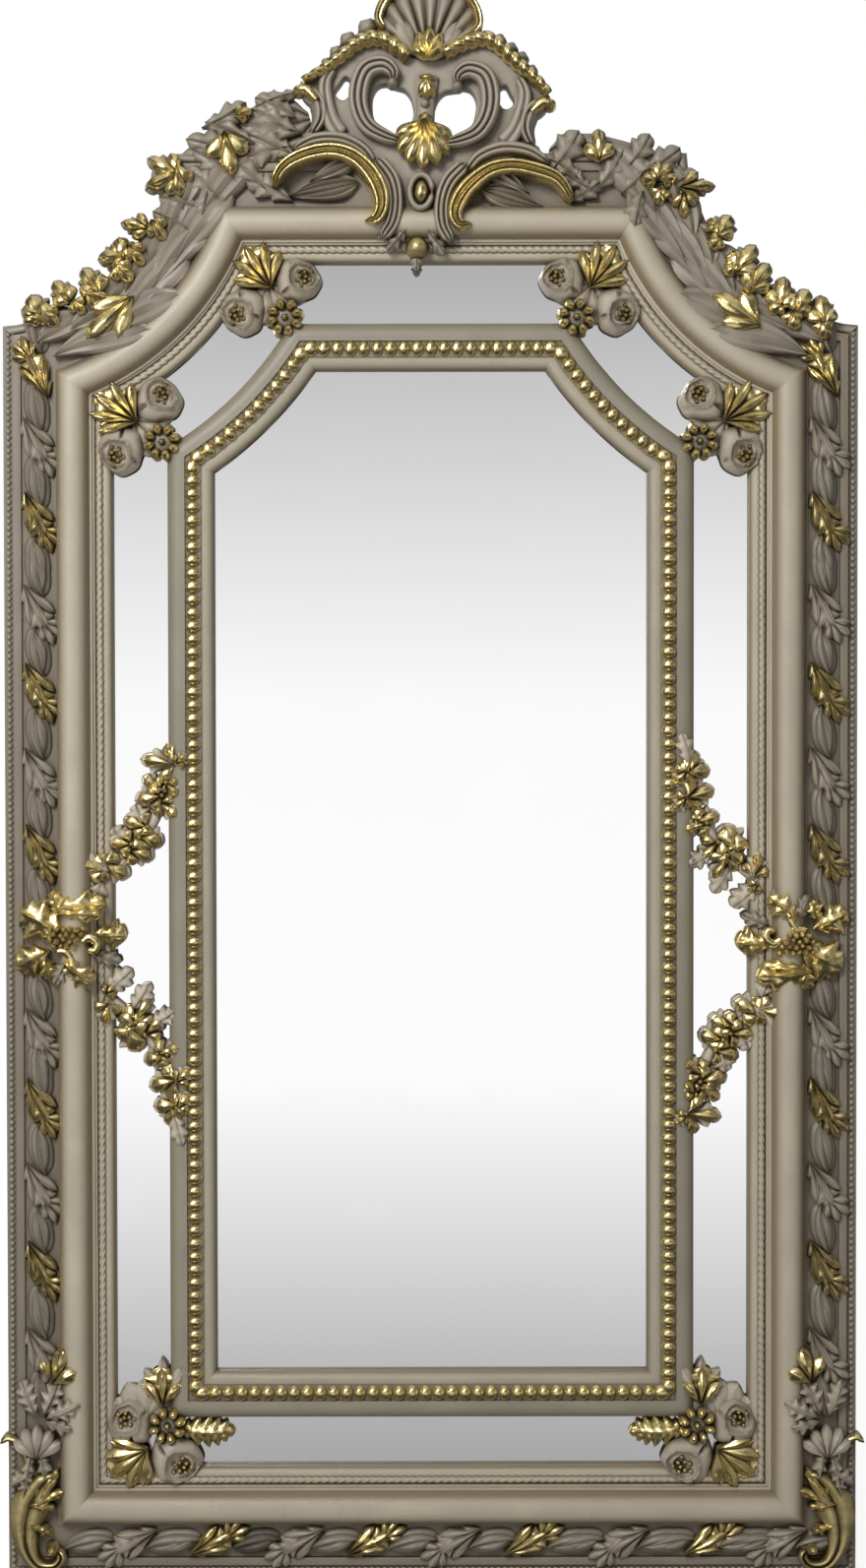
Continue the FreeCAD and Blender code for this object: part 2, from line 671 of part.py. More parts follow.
def bead_row(start, end, across):
    """A straight string of faceted beads on the inner frame's seat."""
    run = end - start
    count = int(run.Length / BEAD_PITCH)
    out = Vector(0, -BEAD_RISE, 0)
    corners = [start, start + out * 0.2]
    for i in range(count):
        for share, high in ((0.5, 1.0), (1.0, 0.2)):
            corners.append(start + run * ((i + share) / count) + out * high)
    corners += [end, start]
    face = Part.Face(Part.makePolygon(corners))
    face.translate(across * -BEAD_HALF)
    return face.extrude(across * (2 * BEAD_HALF))


def bead_strings(inner):
    """Six strings of beads, mitred together at the corners of the inner frame."""
    inset = BEAD_PITCH / 2
    low = inner.bottom_corner(BEAD_LINE)
    stile = inner.stile_corner(BEAD_LINE)
    top = inner.top_corner(BEAD_LINE)
    seat = Vector(0, -BEAD_SEAT, 0)
    side = bead_row(low + seat + Vector(0, 0, inset), stile + seat - Vector(0, 0, inset), Vector(1, 0, 0))
    under = bead_row(flip(low) + seat + Vector(inset, 0, 0), low + seat - Vector(inset, 0, 0),
                     Vector(0, 0, 1))
    over = bead_row(flip(top) + seat + Vector(inset, 0, 0), top + seat - Vector(inset, 0, 0),
                    Vector(0, 0, 1))
    count = int(sum(edge.Length for edge in inner.shoulder_line(BEAD_LINE)) / BEAD_PITCH)
    profile = [(BEAD_HALF, 0), (0, BEAD_RISE)]
    beads = []
    for i in range(1, count):
        point = inner.shoulder_point(BEAD_LINE, i / count)
        beads.append(turned(point.x, point.z, BEAD_SEAT, profile, SMALL_SIDES))
    curved = Part.makeCompound(beads)
    return {
        "inner_side_beads": Part.makeCompound(both(side)),
        "inner_rail_beads": Part.makeCompound([under, over]),
        "inner_shoulder_beads": Part.makeCompound(both(curved)),
    }


def band_run(start, step, travel, kinds):
    """A run of the leaf band, one form to a step, leaning across the direction of travel."""
    forms = {"gilt": (BAND_LEAF, 21), "pod": (BAND_POD, 17), "painted": (BAND_LEAF, 197)}
    shapes = []
    for i, kind in enumerate(kinds):
        (length, width), lean = forms[kind]
        aim = math.radians(travel + lean)
        stem = start + step * i - Vector(math.cos(aim), 0, math.sin(aim)) * (length / 2)
        shapes.append(leaf(stem.x, stem.z, travel + lean, length, width, BAND_GROUND, BAND_RISE))
    return shapes


def leaf_bands(outer):
    """Carved leaves along both stiles and the bottom rail; both stiles lean the same way."""
    gilt_first = ["gilt", "pod", "painted", "pod"] * 4
    painted_first = gilt_first[2:] + gilt_first[:2]
    quarter = BAND_PITCH / 4
    bands = {}
    for side, x in (("left", -outer.half - BAND_LINE), ("right", outer.half + BAND_LINE)):
        shapes = []
        for (first, count), way, kinds in ((BAND_UP, 1, gilt_first), (BAND_DOWN, -1, painted_first)):
            start = Vector(x, 0, CARTOUCHE[1] + way * first)
            shapes += band_run(start, Vector(0, 0, way * quarter), 90, kinds[:count])
        bands[side + "_leaf_band"] = Part.makeCompound(shapes)
    first, count = BAND_ALONG
    start = Vector(-first, 0, outer.bottom - BAND_LINE)
    bands["bottom_leaf_band"] = Part.makeCompound(
        band_run(start, Vector(quarter, 0, 0), 0, painted_first[:count]))
    return bands


# Castings on the border

def seat(shape, carriers):
    """Cut a casting to the surfaces that carry it, and drop crumbs."""
    cut = shape.cut(carriers)
    solids = [solid for solid in cut.Solids if solid.Volume > 30]
    return Part.makeCompound(solids)


def half_turn(shape):
    """The same casting turned upside down on the other stile."""
    turned = shape.copy()
    turned.rotate(Vector(0, 0, CARTOUCHE[1]), Vector(0, 1, 0), 180)
    return turned


def moved(points, anchor):
    return [(anchor[0] + x, anchor[1] + z) for x, z in points]


def side_cartouche(carriers):
    """Vine leaves round a bunch of grapes, over the whole width of the stile."""
    back = 40.0
    forms = leaves(CARTOUCHE_LEAVES, CARTOUCHE, back, 38.0, 28.0)
    forms.append(leaf(CARTOUCHE[0] - 24, CARTOUCHE[1], 0, 84, 34, back, 32.0, 26.0))
    forms.append(ribbon(moved(CARTOUCHE_CURL, CARTOUCHE), (6, 8, 8, 6), back, 74.0))
    grape = [(GRAPE_RADIUS, 0), (GRAPE_RADIUS, 16), (0, 21)]
    for x, z, count in GRAPE_ROWS:
        for i in range(count):
            forms.append(turned(CARTOUCHE[0] + x + i * GRAPE_RADIUS * 2.1, CARTOUCHE[1] + z, 60.0, grape,
                                SMALL_SIDES))
    return seat(union(forms), carriers)


def garland(rows, stem, carriers):
    """A stem of small leaves from the cartouche across the glass to the inner frame."""
    back = GLASS_BACK + GLASS_THICKNESS + 3
    forms = leaves(rows, CARTOUCHE, back, 20.0)
    forms.append(ribbon(moved(stem, CARTOUCHE), STEM_WIDTHS, back, back + 10, 1))
    return seat(union(forms), carriers)


def floret(anchor, rows, roses, eye, carriers):
    """A corner spray that bridges the border from the outer frame to the inner one."""
    base = ROPE_SEAT + ROPE_RADIUS
    glass = GLASS_BACK + GLASS_THICKNESS
    forms = leaves(rows, anchor, base, 15.0)
    for x, z, radius in roses:
        forms.append(rose(anchor[0] + x, anchor[1] + z, radius, glass + 1, 33.0))
    x, z, radius = eye
    forms += flower(anchor[0] + x, anchor[1] + z, radius, base, 16.0)
    aim = math.degrees(math.atan2(z, x))
    forms.append(leaf(*anchor, aim, math.hypot(x, z) + radius, radius, base, 12.0))
    return seat(union(forms), carriers)


def shoulder_spray(carriers):
    """Leaves and a flower along the notch of the right shoulder and the top rail's end."""
    forms = leaves(SHOULDER_LEAVES, (0, 0), BAND_FILLET, 16.0)
    forms += leaves([SHOULDER_TORUS_LEAF], (0, 0), BAND_FILLET, 30.0, 16.0)
    forms += flower(*SHOULDER_FLOWER, BAND_FILLET, 22.0)
    return union(forms).cut(carriers)


def foot_spray(carriers):
    """An acanthus scroll under roses and leaves, on the bottom corner of the frame."""
    forms = leaves(FOOT_LEAVES, FOOT, BAND_FILLET, 18.0)
    for x, z, radius in FOOT_ROSES:
        forms.append(rose(FOOT[0] + x, FOOT[1] + z, radius, BAND_FILLET, 26.0))
    forms.append(ribbon(moved(FOOT_SCROLL, FOOT), FOOT_WIDTHS, BAND_FILLET, 64.0))
    return seat(union(forms), carriers)


# Crest

def stand(shape):
    """Put a crest piece on the top rail with the crest's own lean."""
    placed = shape.copy()
    placed.rotate(Vector(0, 0, 0), Vector(0, 1, 0), CREST_LEAN)
    placed.translate(Vector(CREST_X, 0, MOULDING_WIDTH / 2))
    return placed


def crest_board():
    """The pierced cartouche: arched shoulders, ears, a narrow waist and two open eyes."""
    right = smooth(CREST_ARCH, 6) + smooth(CREST_EAR, 5)[1:] + smooth(CREST_WAIST, 8)[1:]
    left = [flip(point) for point in reversed(right[:-1])]
    board = slab(Part.makePolygon(right + left + right[:1]), CREST_BACK, CREST_FACE)
    for u, w, radius in (CREST_EYE, CREST_SLOT):
        board = board.cut(both(rod(Vector(u, 0, w), Vector(0, -2 * CREST_FACE, 0), radius, SIDES + 2)))
    reach, wide = CREST_LOOP
    loop = []
    for i in range(6):
        turn = math.radians(-150 + 49 * i)
        loop.append((CREST_EYE[0] + reach * math.cos(turn), CREST_EYE[1] + reach * math.sin(turn)))
    rim = ribbon(loop, (wide, wide), CREST_FACE - 4, CREST_FACE + 7)
    return union([board, leaf(*PENDANT, 30.0, 52.0, 30.0)] + list(both(rim)))


def crest_shell():
    """A fan of flutes behind the arches, with a bud at its foot."""
    forms = []
    for angle, length, width in SHELL_LEAVES:
        forms.append(leaf(*SHELL_BASE, angle, length, width, 46.0, 32.0, 14.0))
    u, w, radius = BUD
    forms.append(turned(u, w, 56.0, [(radius, 0), (radius, 20), (0, 32)]))
    return union(forms)


def crest_drop():
    """A capped bud over a hanging palmette."""
    u, w, radius = DROP_BUD
    foot = PALMETTE_BASE[1]
    forms = [turned(u, w, CREST_FACE, [(radius, 0), (radius, 8), (0, 15)])]
    for angle, length, width in PALMETTE_LEAVES:
        forms.append(leaf(*PALMETTE_BASE, angle, length, width, CREST_FACE, 14.0))
    forms.append(Part.makeBox(2 * radius, 14, 5, Vector(u - radius, -CREST_FACE - 14, w + radius - 1)))
    forms.append(Part.makeBox(10, 12, w - foot, Vector(u - 5, -CREST_FACE - 12, foot - 3)))
    return union(forms)


def crest_cabochon():
    """A smooth oval boss in a ring."""
    u, w, across, up = CABOCHON
    profile = [(across * 1.35, 0), (across * 1.2, 5), (across, 5), (across * 0.7, 10), (0, 12)]
    return turned(u, w, CREST_FACE, profile, SIDES, up / across)


def crest(bed):
    """The pierced board on its dowels, and the castings on its face."""
    base = MOULDING_WIDTH / 2
    dowels = []
    for side in (-1, 1):
        foot = Vector(CREST_X + side * DOWEL_SPREAD, -DOWEL_DEPTH, base - 30)
        dowels.append(rod(foot, Vector(0, 0, 60), DOWEL_RADIUS, SIDES))
    board = stand(crest_board()).cut(bed)
    pieces = {"crest_cartouche": board.cut(dowels), "crest_dowels": Part.makeCompound(dowels)}
    left, right = both(ribbon(CREST_SCROLL, SCROLL_WIDTHS, 46.0, 82.0))
    gadroons = [stand(shape) for shape in both(ribbon(GADROON_LINE, GADROON_WIDTHS, CREST_FACE, 84.0))]
    pieces["crest_gadroons"] = Part.makeCompound(gadroons)
    applied = {"crest_left_scroll": left, "crest_right_scroll": right, "crest_shell": crest_shell(),
               "crest_drop": crest_drop(), "crest_cabochon": crest_cabochon()}
    for name, shape in applied.items():
        pieces[name] = seat(stand(shape), [board, bed] + gadroons)
    return pieces


# Assembly

def frame_nodes(outer, inner):
    """The two mouldings, the glass, the board and what holds them together at the back."""
    outer_names = {"left_stile": "left_stile", "right_stile": "right_stile", "top": "top_rail",
                   "bottom": "bottom_rail", "left_shoulder": "left_shoulder_rail",
                   "right_shoulder": "right_shoulder_rail"}
    nodes = {outer_names[name]: shape for name, shape in outer.members(outer_profile()).items()}
    for name, shape in inner.members(inner_profile()).items():
        nodes["inner_" + outer_names[name]] = shape
    nodes.update(border_mirrors(outer, inner))
    screws = board_screws(outer, inner)
    nodes["backboard"] = slab(outer.loop(BOARD_LAP), BOARD_BACK, GLASS_BACK).cut(screws)
    keys = corner_keys(outer)
    hangers = {}
    driven = []
    for side, x in (("left", -outer.half - HANGER_LINE), ("right", outer.half + HANGER_LINE)):
        fixings = hanger_screws(x)
        driven += fixings
        hangers[side + "_hanger_strap"] = hanger_strap(x).cut(fixings)
        hangers[side + "_hanger_ring"] = hanger_ring(x)
        nodes[side + "_stile"] = nodes[side + "_stile"].cut([hanger_pocket(x)] + fixings)
    for name in list(outer_names.values()):
        nodes[name] = nodes[name].cut(screws + keys)
        nodes["inner_" + name] = nodes["inner_" + name].cut(screws)
    nodes.update(hangers)
    nodes["backboard_screws"] = Part.makeCompound(screws)
    nodes["hanger_screws"] = Part.makeCompound(driven)
    nodes["corner_keys"] = Part.makeCompound(keys)
    return nodes


def casting_nodes(outer, inner, nodes):
    """Florets, garlands, cartouches and sprays, each cut to the mouldings under it."""
    beds = outer.members(outer_bed())
    inner_beds = inner.members(inner_bed())
    stile = beds["left_stile"]
    inner_stile = inner_beds["left_stile"]
    shoulders = [beds["left_shoulder"], inner_beds["left_shoulder"]]
    castings = crest(beds["top"])
    cartouche = side_cartouche([stile])
    castings["left_side_cartouche"] = cartouche
    castings["right_side_cartouche"] = half_turn(cartouche)
    for left, right, rows, stem in (
            ("left_upper_garland", "right_lower_garland", UPPER_GARLAND_LEAVES, UPPER_GARLAND_STEM),
            ("left_lower_garland", "right_upper_garland", LOWER_GARLAND_LEAVES, LOWER_GARLAND_STEM)):
        castings[left] = garland(rows, stem, [stile, inner_stile, cartouche])
        castings[right] = half_turn(castings[left])
    lower = floret(LOWER_FLORET, LOWER_FLORET_LEAVES, LOWER_FLORET_ROSES, LOWER_FLORET_FLOWER,
                   [stile, inner_stile] + shoulders)
    upper = floret(UPPER_FLORET, UPPER_FLORET_LEAVES, UPPER_FLORET_ROSES, UPPER_FLORET_FLOWER,
                   [beds["top"], inner_beds["top"]] + shoulders)
    bottom = floret(BOTTOM_FLORET, BOTTOM_FLORET_LEAVES, BOTTOM_FLORET_ROSES, BOTTOM_FLORET_FLOWER,
                    [stile, beds["bottom"], inner_stile, inner_beds["bottom"]])
    foot = foot_spray([stile, beds["bottom"], nodes["left_leaf_band"], nodes["bottom_leaf_band"]])
    for name, shape in (("lower_floret", lower), ("upper_floret", upper), ("bottom_floret", bottom),
                        ("foot_spray", foot)):
        castings["left_" + name] = shape
        castings["right_" + name] = shape.mirror(*MIRROR_X)
    sprays = both(shoulder_spray([beds["right_stile"], beds["right_shoulder"], beds["top"]]))
    for side, spray in zip(("left", "right"), sprays):
        blockers = [nodes[side + "_leaf_band"], castings["crest_" + side + "_scroll"],
                    castings["crest_cartouche"]]
        castings[side + "_shoulder_spray"] = seat(spray, blockers)
    return castings


def main():
    os.makedirs("parts", exist_ok=True)
    outer = outer_outline()
    inner = inner_outline(outer)
    nodes = frame_nodes(outer, inner)
    ropes = outer.members(half_round(ROPE_LINE, ROPE_SEAT, ROPE_RADIUS))
    pearls = outer.members(half_round(PEARL_LINE, PEARL_SEAT, PEARL_RADIUS))
    nodes["rope_mouldings"] = Part.makeCompound(list(ropes.values()))
    edging = [pearls[name] for name in ("left_stile", "right_stile", "bottom")]
    nodes["pearl_edgings"] = Part.makeCompound(edging)
    nodes.update(bead_strings(inner))
    nodes.update(leaf_bands(outer))
    nodes.update(casting_nodes(outer, inner, nodes))
    dowel_holes = nodes["crest_dowels"].Solids
    nodes["top_rail"] = nodes["top_rail"].cut(dowel_holes)
    for name, shape in nodes.items():
        shape.exportStep("parts/" + name + ".step")
    print(len(nodes), "nodes")


main()
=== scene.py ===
import math

import bpy
import numpy as np
from bpy.props import FloatProperty, FloatVectorProperty, PointerProperty
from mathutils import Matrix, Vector


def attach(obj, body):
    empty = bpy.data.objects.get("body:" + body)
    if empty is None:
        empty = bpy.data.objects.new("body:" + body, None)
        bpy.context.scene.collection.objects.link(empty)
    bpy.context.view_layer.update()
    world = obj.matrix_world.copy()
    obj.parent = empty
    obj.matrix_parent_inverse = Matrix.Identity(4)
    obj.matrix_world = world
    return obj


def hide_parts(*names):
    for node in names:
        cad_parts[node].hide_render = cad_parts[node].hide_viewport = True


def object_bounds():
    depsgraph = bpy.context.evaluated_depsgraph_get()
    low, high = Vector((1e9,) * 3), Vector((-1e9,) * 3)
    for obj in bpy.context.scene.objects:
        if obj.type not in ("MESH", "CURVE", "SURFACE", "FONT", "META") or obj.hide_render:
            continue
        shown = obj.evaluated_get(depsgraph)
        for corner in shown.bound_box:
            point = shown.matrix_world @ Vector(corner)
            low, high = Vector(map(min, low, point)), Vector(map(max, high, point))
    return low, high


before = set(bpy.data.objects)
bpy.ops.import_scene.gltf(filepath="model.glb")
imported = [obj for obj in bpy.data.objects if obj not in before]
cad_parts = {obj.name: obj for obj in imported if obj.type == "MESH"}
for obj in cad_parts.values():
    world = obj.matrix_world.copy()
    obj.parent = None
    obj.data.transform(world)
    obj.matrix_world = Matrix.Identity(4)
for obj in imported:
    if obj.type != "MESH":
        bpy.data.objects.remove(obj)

bl_info = {
    "name": "Baroque Mirror",
    "version": (1, 0, 0),
    "blender": (4, 5, 0),
    "location": "View3D > Sidebar > Mirror",
    "description": "Dresses a shouldered parclose mirror with its mouldings, glass, carving and crest",
    "category": "Add Mesh",
}

CAD_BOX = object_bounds()
MM = 0.001

# The two frames, in millimetres: sight half width, sight top and bottom, shoulder centre and radius
OUTER_SIGHT = (373.0, -63.5, -1479.5, (520.0, 83.5), 349.0)
INNER_SIGHT = (254.0, -188.5, -1366.5, (520.0, 77.5), 468.0)
INNER_WIDTH = 54.0
GLASS_FACE = 26.0
FREE_DEPTH = 24.0

# Depth of either frame's face at offsets from its sight edge, on which castings lie
OUTER_BED = ((0, 34), (10, 42), (26, 48), (34, 56), (48, 65), (62, 58), (70, 46), (106, 47), (127, 43),
             (131, FREE_DEPTH))
INNER_BED = ((0, 34), (13, 42), (36, 46), (47, 45), (54, 36))

# Lines and seats of the edgings, offset from the sight edge and depth
ROPE_LINE, ROPE_SEAT, ROPE_RADIUS = 15.2, 41.5, 5.2
PEARL_LINE, PEARL_SEAT, PEARL_RADIUS = 121.0, 43.0, 3.6
PLAIN_EDGE_RADIUS = 4.5
BEAD_LINE, BEAD_SEAT, BEAD_HALF, BEAD_RISE = 25.0, 40.0, 9.8, 12
BEAD_STRETCH, MITRE_BEAD_STRETCH = 0.80, 1.10
BAND_LINE, BAND_GROUND = 87.0, 44.0
POD_AWAY, POD_LEAN = 47, 14

# Carved bands: heights of the gilt and of the painted leaves on the stiles, places along the bottom rail
BAND_GILT = (-188.0, -363.0, -563.0, -752.0, -1051.0, -1243.0)
BAND_PAINTED = (-276.0, -471.0, -662.0, -968.0, -1150.0, -1345.0)
BAND_ALONG_GILT = (-254.0, -69.0, 117.0, 329.0)
BAND_ALONG_PAINTED = (-357.0, -160.0, 24.0, 222.0, 408.0)

# Castings: leaves as place from the casting's anchor, direction, length and width, and on the cartouche the depth
# they stand on; fans as place, direction, spread, count of lobes, length and width
CARTOUCHE = (-425.0, -855.0)
CARTOUCHE_LEAVES = (
    (-6, 10, 154, 56, 56, 50), (-10, 28, 102, 32, 28, 48), (-22, -12, 205, 46, 44, 46), (26, 6, -2, 40, 36, 40),
    (-28, -20, -72, 28, 26, 50), (-4, -24, -38, 44, 34, 60), (-20, 38, 4, 66, 38, 56), (-13, 33, -3, 54, 20, 62),
)
CARTOUCHE_PAINTED = ((10, -22, -70, 40, 30), (-2, -26, 240, 30, 24), (28, -16, -20, 34, 22))
CARTOUCHE_CURLS = (((-14, -12), (-2, -13), (5, -23), (0, -34), (-10, -33)),
                   ((16, -2), (25, 4), (34, -2), (32, -11), (23, -10)))
CURL_SEAT, CURL_FACE = 48, 70

# Grapes: left, right, top and foot of the bunch, radius of a grape, depth of its seat
GRAPES = (-20.0, 26.0, 14.0, -12.0, 4.2, 62)
UPPER_GARLAND = (
    (125, 206, 172, 38, 19), (106, 176, 143, 23, 16), (109, 169, 191, 30, 21), (114, 184, -50, 20, 14),
    (106, 161, -39, 26, 16), (91, 132, 162, 27, 19), (82, 120, -13, 26, 21), (73, 112, 175, 27, 19),
    (70, 105, -20, 27, 19), (42, 82, 166, 29, 21), (39, 89, -27, 31, 21), (126, 207, 39, 15, 12),
)
UPPER_GARLAND_PAINTED = ((85, 132, 106, 21, 19), (38, 68, -108, 18, 14), (62, 114, 120, 16, 16))
UPPER_STEM = ((135, 236), (127, 213), (112, 172), (91, 128), (62, 100), (37, 73), (28, 50))
LOWER_GARLAND = (
    (46, -74, -103, 26, 16), (79, -104, 143, 25, 21), (70, -101, -72, 31, 28), (77, -98, 62, 32, 16),
    (88, -113, 45, 28, 16), (114, -136, 198, 27, 19), (102, -136, 18, 27, 16), (126, -165, 197, 32, 21),
    (130, -194, 187, 30, 21), (126, -198, 49, 21, 16), (121, -194, -101, 25, 19), (42, -64, 45, 16, 12),
    (126, -167, 45, 20, 14),
)
LOWER_GARLAND_PAINTED = ((73, -84, 57, 28, 16), (96, -101, 30, 23, 16), (44, -60, 40, 27, 19), (122, -206, -75, 28, 14))
LOWER_STEM = ((21, -43), (46, -70), (79, -101), (102, -132), (120, -165), (128, -194), (132, -222))

# Corner florets: anchor, gilt fans, gilt leaves, painted fans, roses, flower
LOWER_FLORET = ((-342.5, -250.0), ((-1, 1, 147, 92, 5, 60, 13),), (), ((-4, 3, -24, 150, 5, 48, 26),),
                ((23, 27, 28), (-21, -31, 29)), (28, -22, 23))
UPPER_FLORET = ((-186.5, -93.0), ((0, 0, 122, 88, 5, 58, 13),), (), ((-3, 5, -58, 150, 5, 48, 26),),
                ((31, 10, 27), (-33, -26, 28)), (16, -34, 23))
BOTTOM_FLORET = ((-334.5, -1459.5), ((-2, 2, 217, 104, 5, 54, 17), (18, 54, 94, 70, 3, 44, 13)),
                 ((34, 22, -2, 68, 40),), ((-6, 32, 86, 120, 5, 50, 30), (22, 56, 98, 56, 3, 52, 14)),
                 ((-22, 31, 28), (31, -14, 31)), (22, 30, 23))

# Foot sprays
FOOT = (-462.0, -1462.0)
FOOT_FANS = ((16, 86, 72, 84, 3, 44, 19), (-4, -58, 58, 60, 3, 50, 13))
FOOT_LEAVES = ((-12, -57, -10, 32, 17), (-10, -81, -26, 28, 15))
FOOT_PAINTED = ((-9, 4, -100, 66, 22), (2, 4, -80, 44, 20), (-6, -20, 206, 30, 24), (10, 46, 24, 44, 28),
                (6, 48, 66, 46, 30), (-4, 48, 112, 44, 28), (8, 40, -12, 34, 22))
FOOT_SHELLS = ((-2, -4, 90, 104, 5, 40, 15),)
FOOT_STEM = ((-8, -40), (-15, -8), (-24, 12), (-38, 19), (-47, 12))
FOOT_SCROLL = ((26, -21), (2, -37), (-14, -70), (-16, -105), (-3, -129), (17, -131), (26, -119), (15, -112))
FOOT_WIDTHS = (8, 32, 46, 40, 26, 16, 13, 14)

# Shoulder sprays and the leaves that climb to the crest, from the frame's own centre
SPRAY_LEFT_GILT = (
    (-325, -27, 166, 34, 15), (-325, -16, -53, 29, 17), (-355, -64, 105, 28, 23), (-352, -57, -174, 33, 21),
    (-352, -45, -50, 31, 17), (-367, -66, -45, 30, 21), (-384, -104, 122, 37, 22), (-402, -100, -15, 31, 16),
    (-418, -113, 128, 32, 20), (-416, -108, -49, 23, 15), (-451, -136, 113, 35, 26), (-448, -127, 165, 28, 21),
    (-451, -119, -48, 28, 20), (-290, 34, 150, 42, 20), (-290, 38, -157, 42, 21), (-295, 48, -83, 38, 20),
    (-239, 87, -82, 53, 26), (-226, 104, 20, 20, 12), (-345, -104, -137, 77, 29),
)
SPRAY_LEFT_PAINTED = (
    (-212, 56, 158, 77, 35), (-224, 27, 138, 66, 33), (-244, 6, 132, 56, 37), (-201, 71, 151, 68, 30),
    (-158, 83, 144, 60, 42), (-154, 56, 150, 68, 37), (-189, 15, 133, 63, 35), (-160, 6, 151, 61, 33),
    (-150, 86, 168, 72, 44), (-156, 104, 150, 54, 34), (-162, 70, 190, 60, 36), (-267, -3, 159, 52, 33),
    (-276, -31, 147, 55, 30), (-146, 134, -167, 60, 21), (-258, 20, -104, 43, 26), (-266, 92, 26, 60, 30),
)
SPRAY_RIGHT_GILT = (
    (196, 50, 90, 37, 21), (266, 27, 101, 24, 19), (263, 27, 166, 19, 19), (268, 29, 7, 19, 16),
    (268, 20, -103, 21, 19), (261, 29, 45, 26, 16), (289, 20, 5, 40, 15), (294, 16, -88, 31, 14),
    (333, -38, 58, 30, 23), (338, -38, -142, 19, 19), (331, -31, 106, 17, 16), (354, -80, 54, 40, 23),
    (356, -66, -131, 21, 19), (370, -99, 52, 38, 23), (373, -83, -103, 21, 19), (405, -122, 79, 38, 23),
    (422, -127, 58, 33, 23), (419, -122, -76, 24, 21), (410, -115, -152, 20, 19), (456, -141, 92, 35, 23),
    (454, -134, -74, 22, 21), (384, -141, 146, 67, 28),
)
SPRAY_RIGHT_PAINTED = (
    (236, 34, 28, 66, 36), (258, 22, 14, 58, 34), (228, 44, 52, 50, 34), (142, 43, 52, 56, 42),
    (177, 27, 139, 46, 30), (194, 20, 52, 56, 35), (222, 15, 41, 49, 33), (189, 15, 142, 41, 28),
    (247, 17, -108, 44, 30), (259, 10, -83, 38, 19), (160, 6, 27, 46, 26),
)

SPRAY_LEFT_MASS = ((-312, 12), (-268, 44), (-222, 72), (-180, 92), (-140, 104))
SPRAY_RIGHT_MASS = ((306, 4), (262, 26), (222, 42), (180, 54), (138, 62))
SPRAYS = {"left": (SPRAY_LEFT_MASS, SPRAY_LEFT_GILT, SPRAY_LEFT_PAINTED),
          "right": (SPRAY_RIGHT_MASS, SPRAY_RIGHT_GILT, SPRAY_RIGHT_PAINTED)}

# Rows of fluted leaves along the shoulders: offset, count, length, width and lean
ACANTHUS_ROWS = ((100, 7, 62, 42, 24), (80, 6, 122, 50, 8))

# Crest, from the middle of the top rail's outer edge on the crest's leaning axis
CREST_X, CREST_FOOT, CREST_LEAN = -10.0, 63.5, math.radians(3.2)
CREST_BACK, CREST_FACE = 24.0, 72.0
BOARD_SUNK, BOARD_BEVEL = 22, 3
CREST_OUTLINE = ((0, 108), (20, 112), (40, 127), (62, 131), (90, 117), (124, 88), (146, 72), (142, 56), (126, 42),
                 (123, 24), (138, 8), (112, 1), (92, -9), (70, -27), (48, -48), (38, -74), (37, -96), (20, -112),
                 (0, -119))
CREST_EYE = ((57, 71), (47, 77), (35, 74), (22, 70), (13, 53), (14, 33), (23, 22), (40, 19), (54, 30), (60, 49))
CREST_SLOT = ((91, 82), (99, 74), (104, 62), (92, 56))
CREST_LOOP = ((38, 77), (38, 88), (50, 96), (68, 90), (76, 70), (75, 46), (64, 25), (44, 14), (22, 8))
GADROONS_LEFT = ((-22, 107), (-36, 118), (-55, 127), (-78, 122), (-96, 107), (-114, 91), (-132, 79), (-142, 73))
GADROONS_RIGHT = ((20, 112), (33, 122), (50, 130), (68, 133), (85, 125), (102, 110), (122, 94), (136, 82), (144, 74))
CREST_LUMPS = ((-70, 141, 14), (-92, 126, 12), (-105, 111, 10), (-116, 98, 8), (83, 135, 10), (97, 126, 10),
               (110, 116, 10), (123, 103, 8))
CREST_STRAP = ((107, 92), (116, 74), (114, 51), (107, 30), (94, 11))
CREST_EAR = ((146, 62), (136, 62), (124, 50), (121, 32), (128, 14))
CREST_ARCH = ((148, -6), (124, 7), (94, 9), (68, -2), (54, -20))
CREST_WAIST = ((52, -13), (34, -34), (27, -58), (29, -84), (40, -104))

# Leaves at the sides of the crest: place, lean, length, width, flutes and depth below the crest's face
CREST_SIDE_LEAVES = ((152, -60, 75, 84, 34, 5, 26), (128, -42, 60, 62, 26, 3, 24))
SCROLL_LEFT = ((-169, -53), (-160, -32), (-140, -17), (-110, -8), (-84, -11), (-63, -25), (-48, -46), (-43, -66),
               (-48, -82), (-61, -86))
SCROLL_RIGHT = ((178, -50), (160, -27), (136, -18), (107, -14), (81, -20), (59, -38), (47, -56), (43, -72), (49, -84),
                (62, -82))
SCROLL_WIDTHS = (10, 15, 18, 19, 19, 20, 22, 22, 17, 11)
SHELL_BASE = (2, 104)
SHELL_CURL = ((30, 194), (42, 182), (53, 166), (57, 150), (50, 138))
SHELL_SPAN, SHELL_FLUTES = (18, 162), 11
PALMETTE_BASE = (2, 36)
CABOCHON = (2, -48)
PENDANT = (1, -112)

SHARP_EDGE = math.radians(48)
FACE_LIFT = 0.2

# Stage, in metres: floor below the mirror and its half width, the camera's sensor, place and the plane it measures from
FLOOR_DROP, FLOOR_HALF = 0.004, 6
SENSOR, CAMERA_X, CAMERA_PLANE = 36.0, 0.0024, -0.03

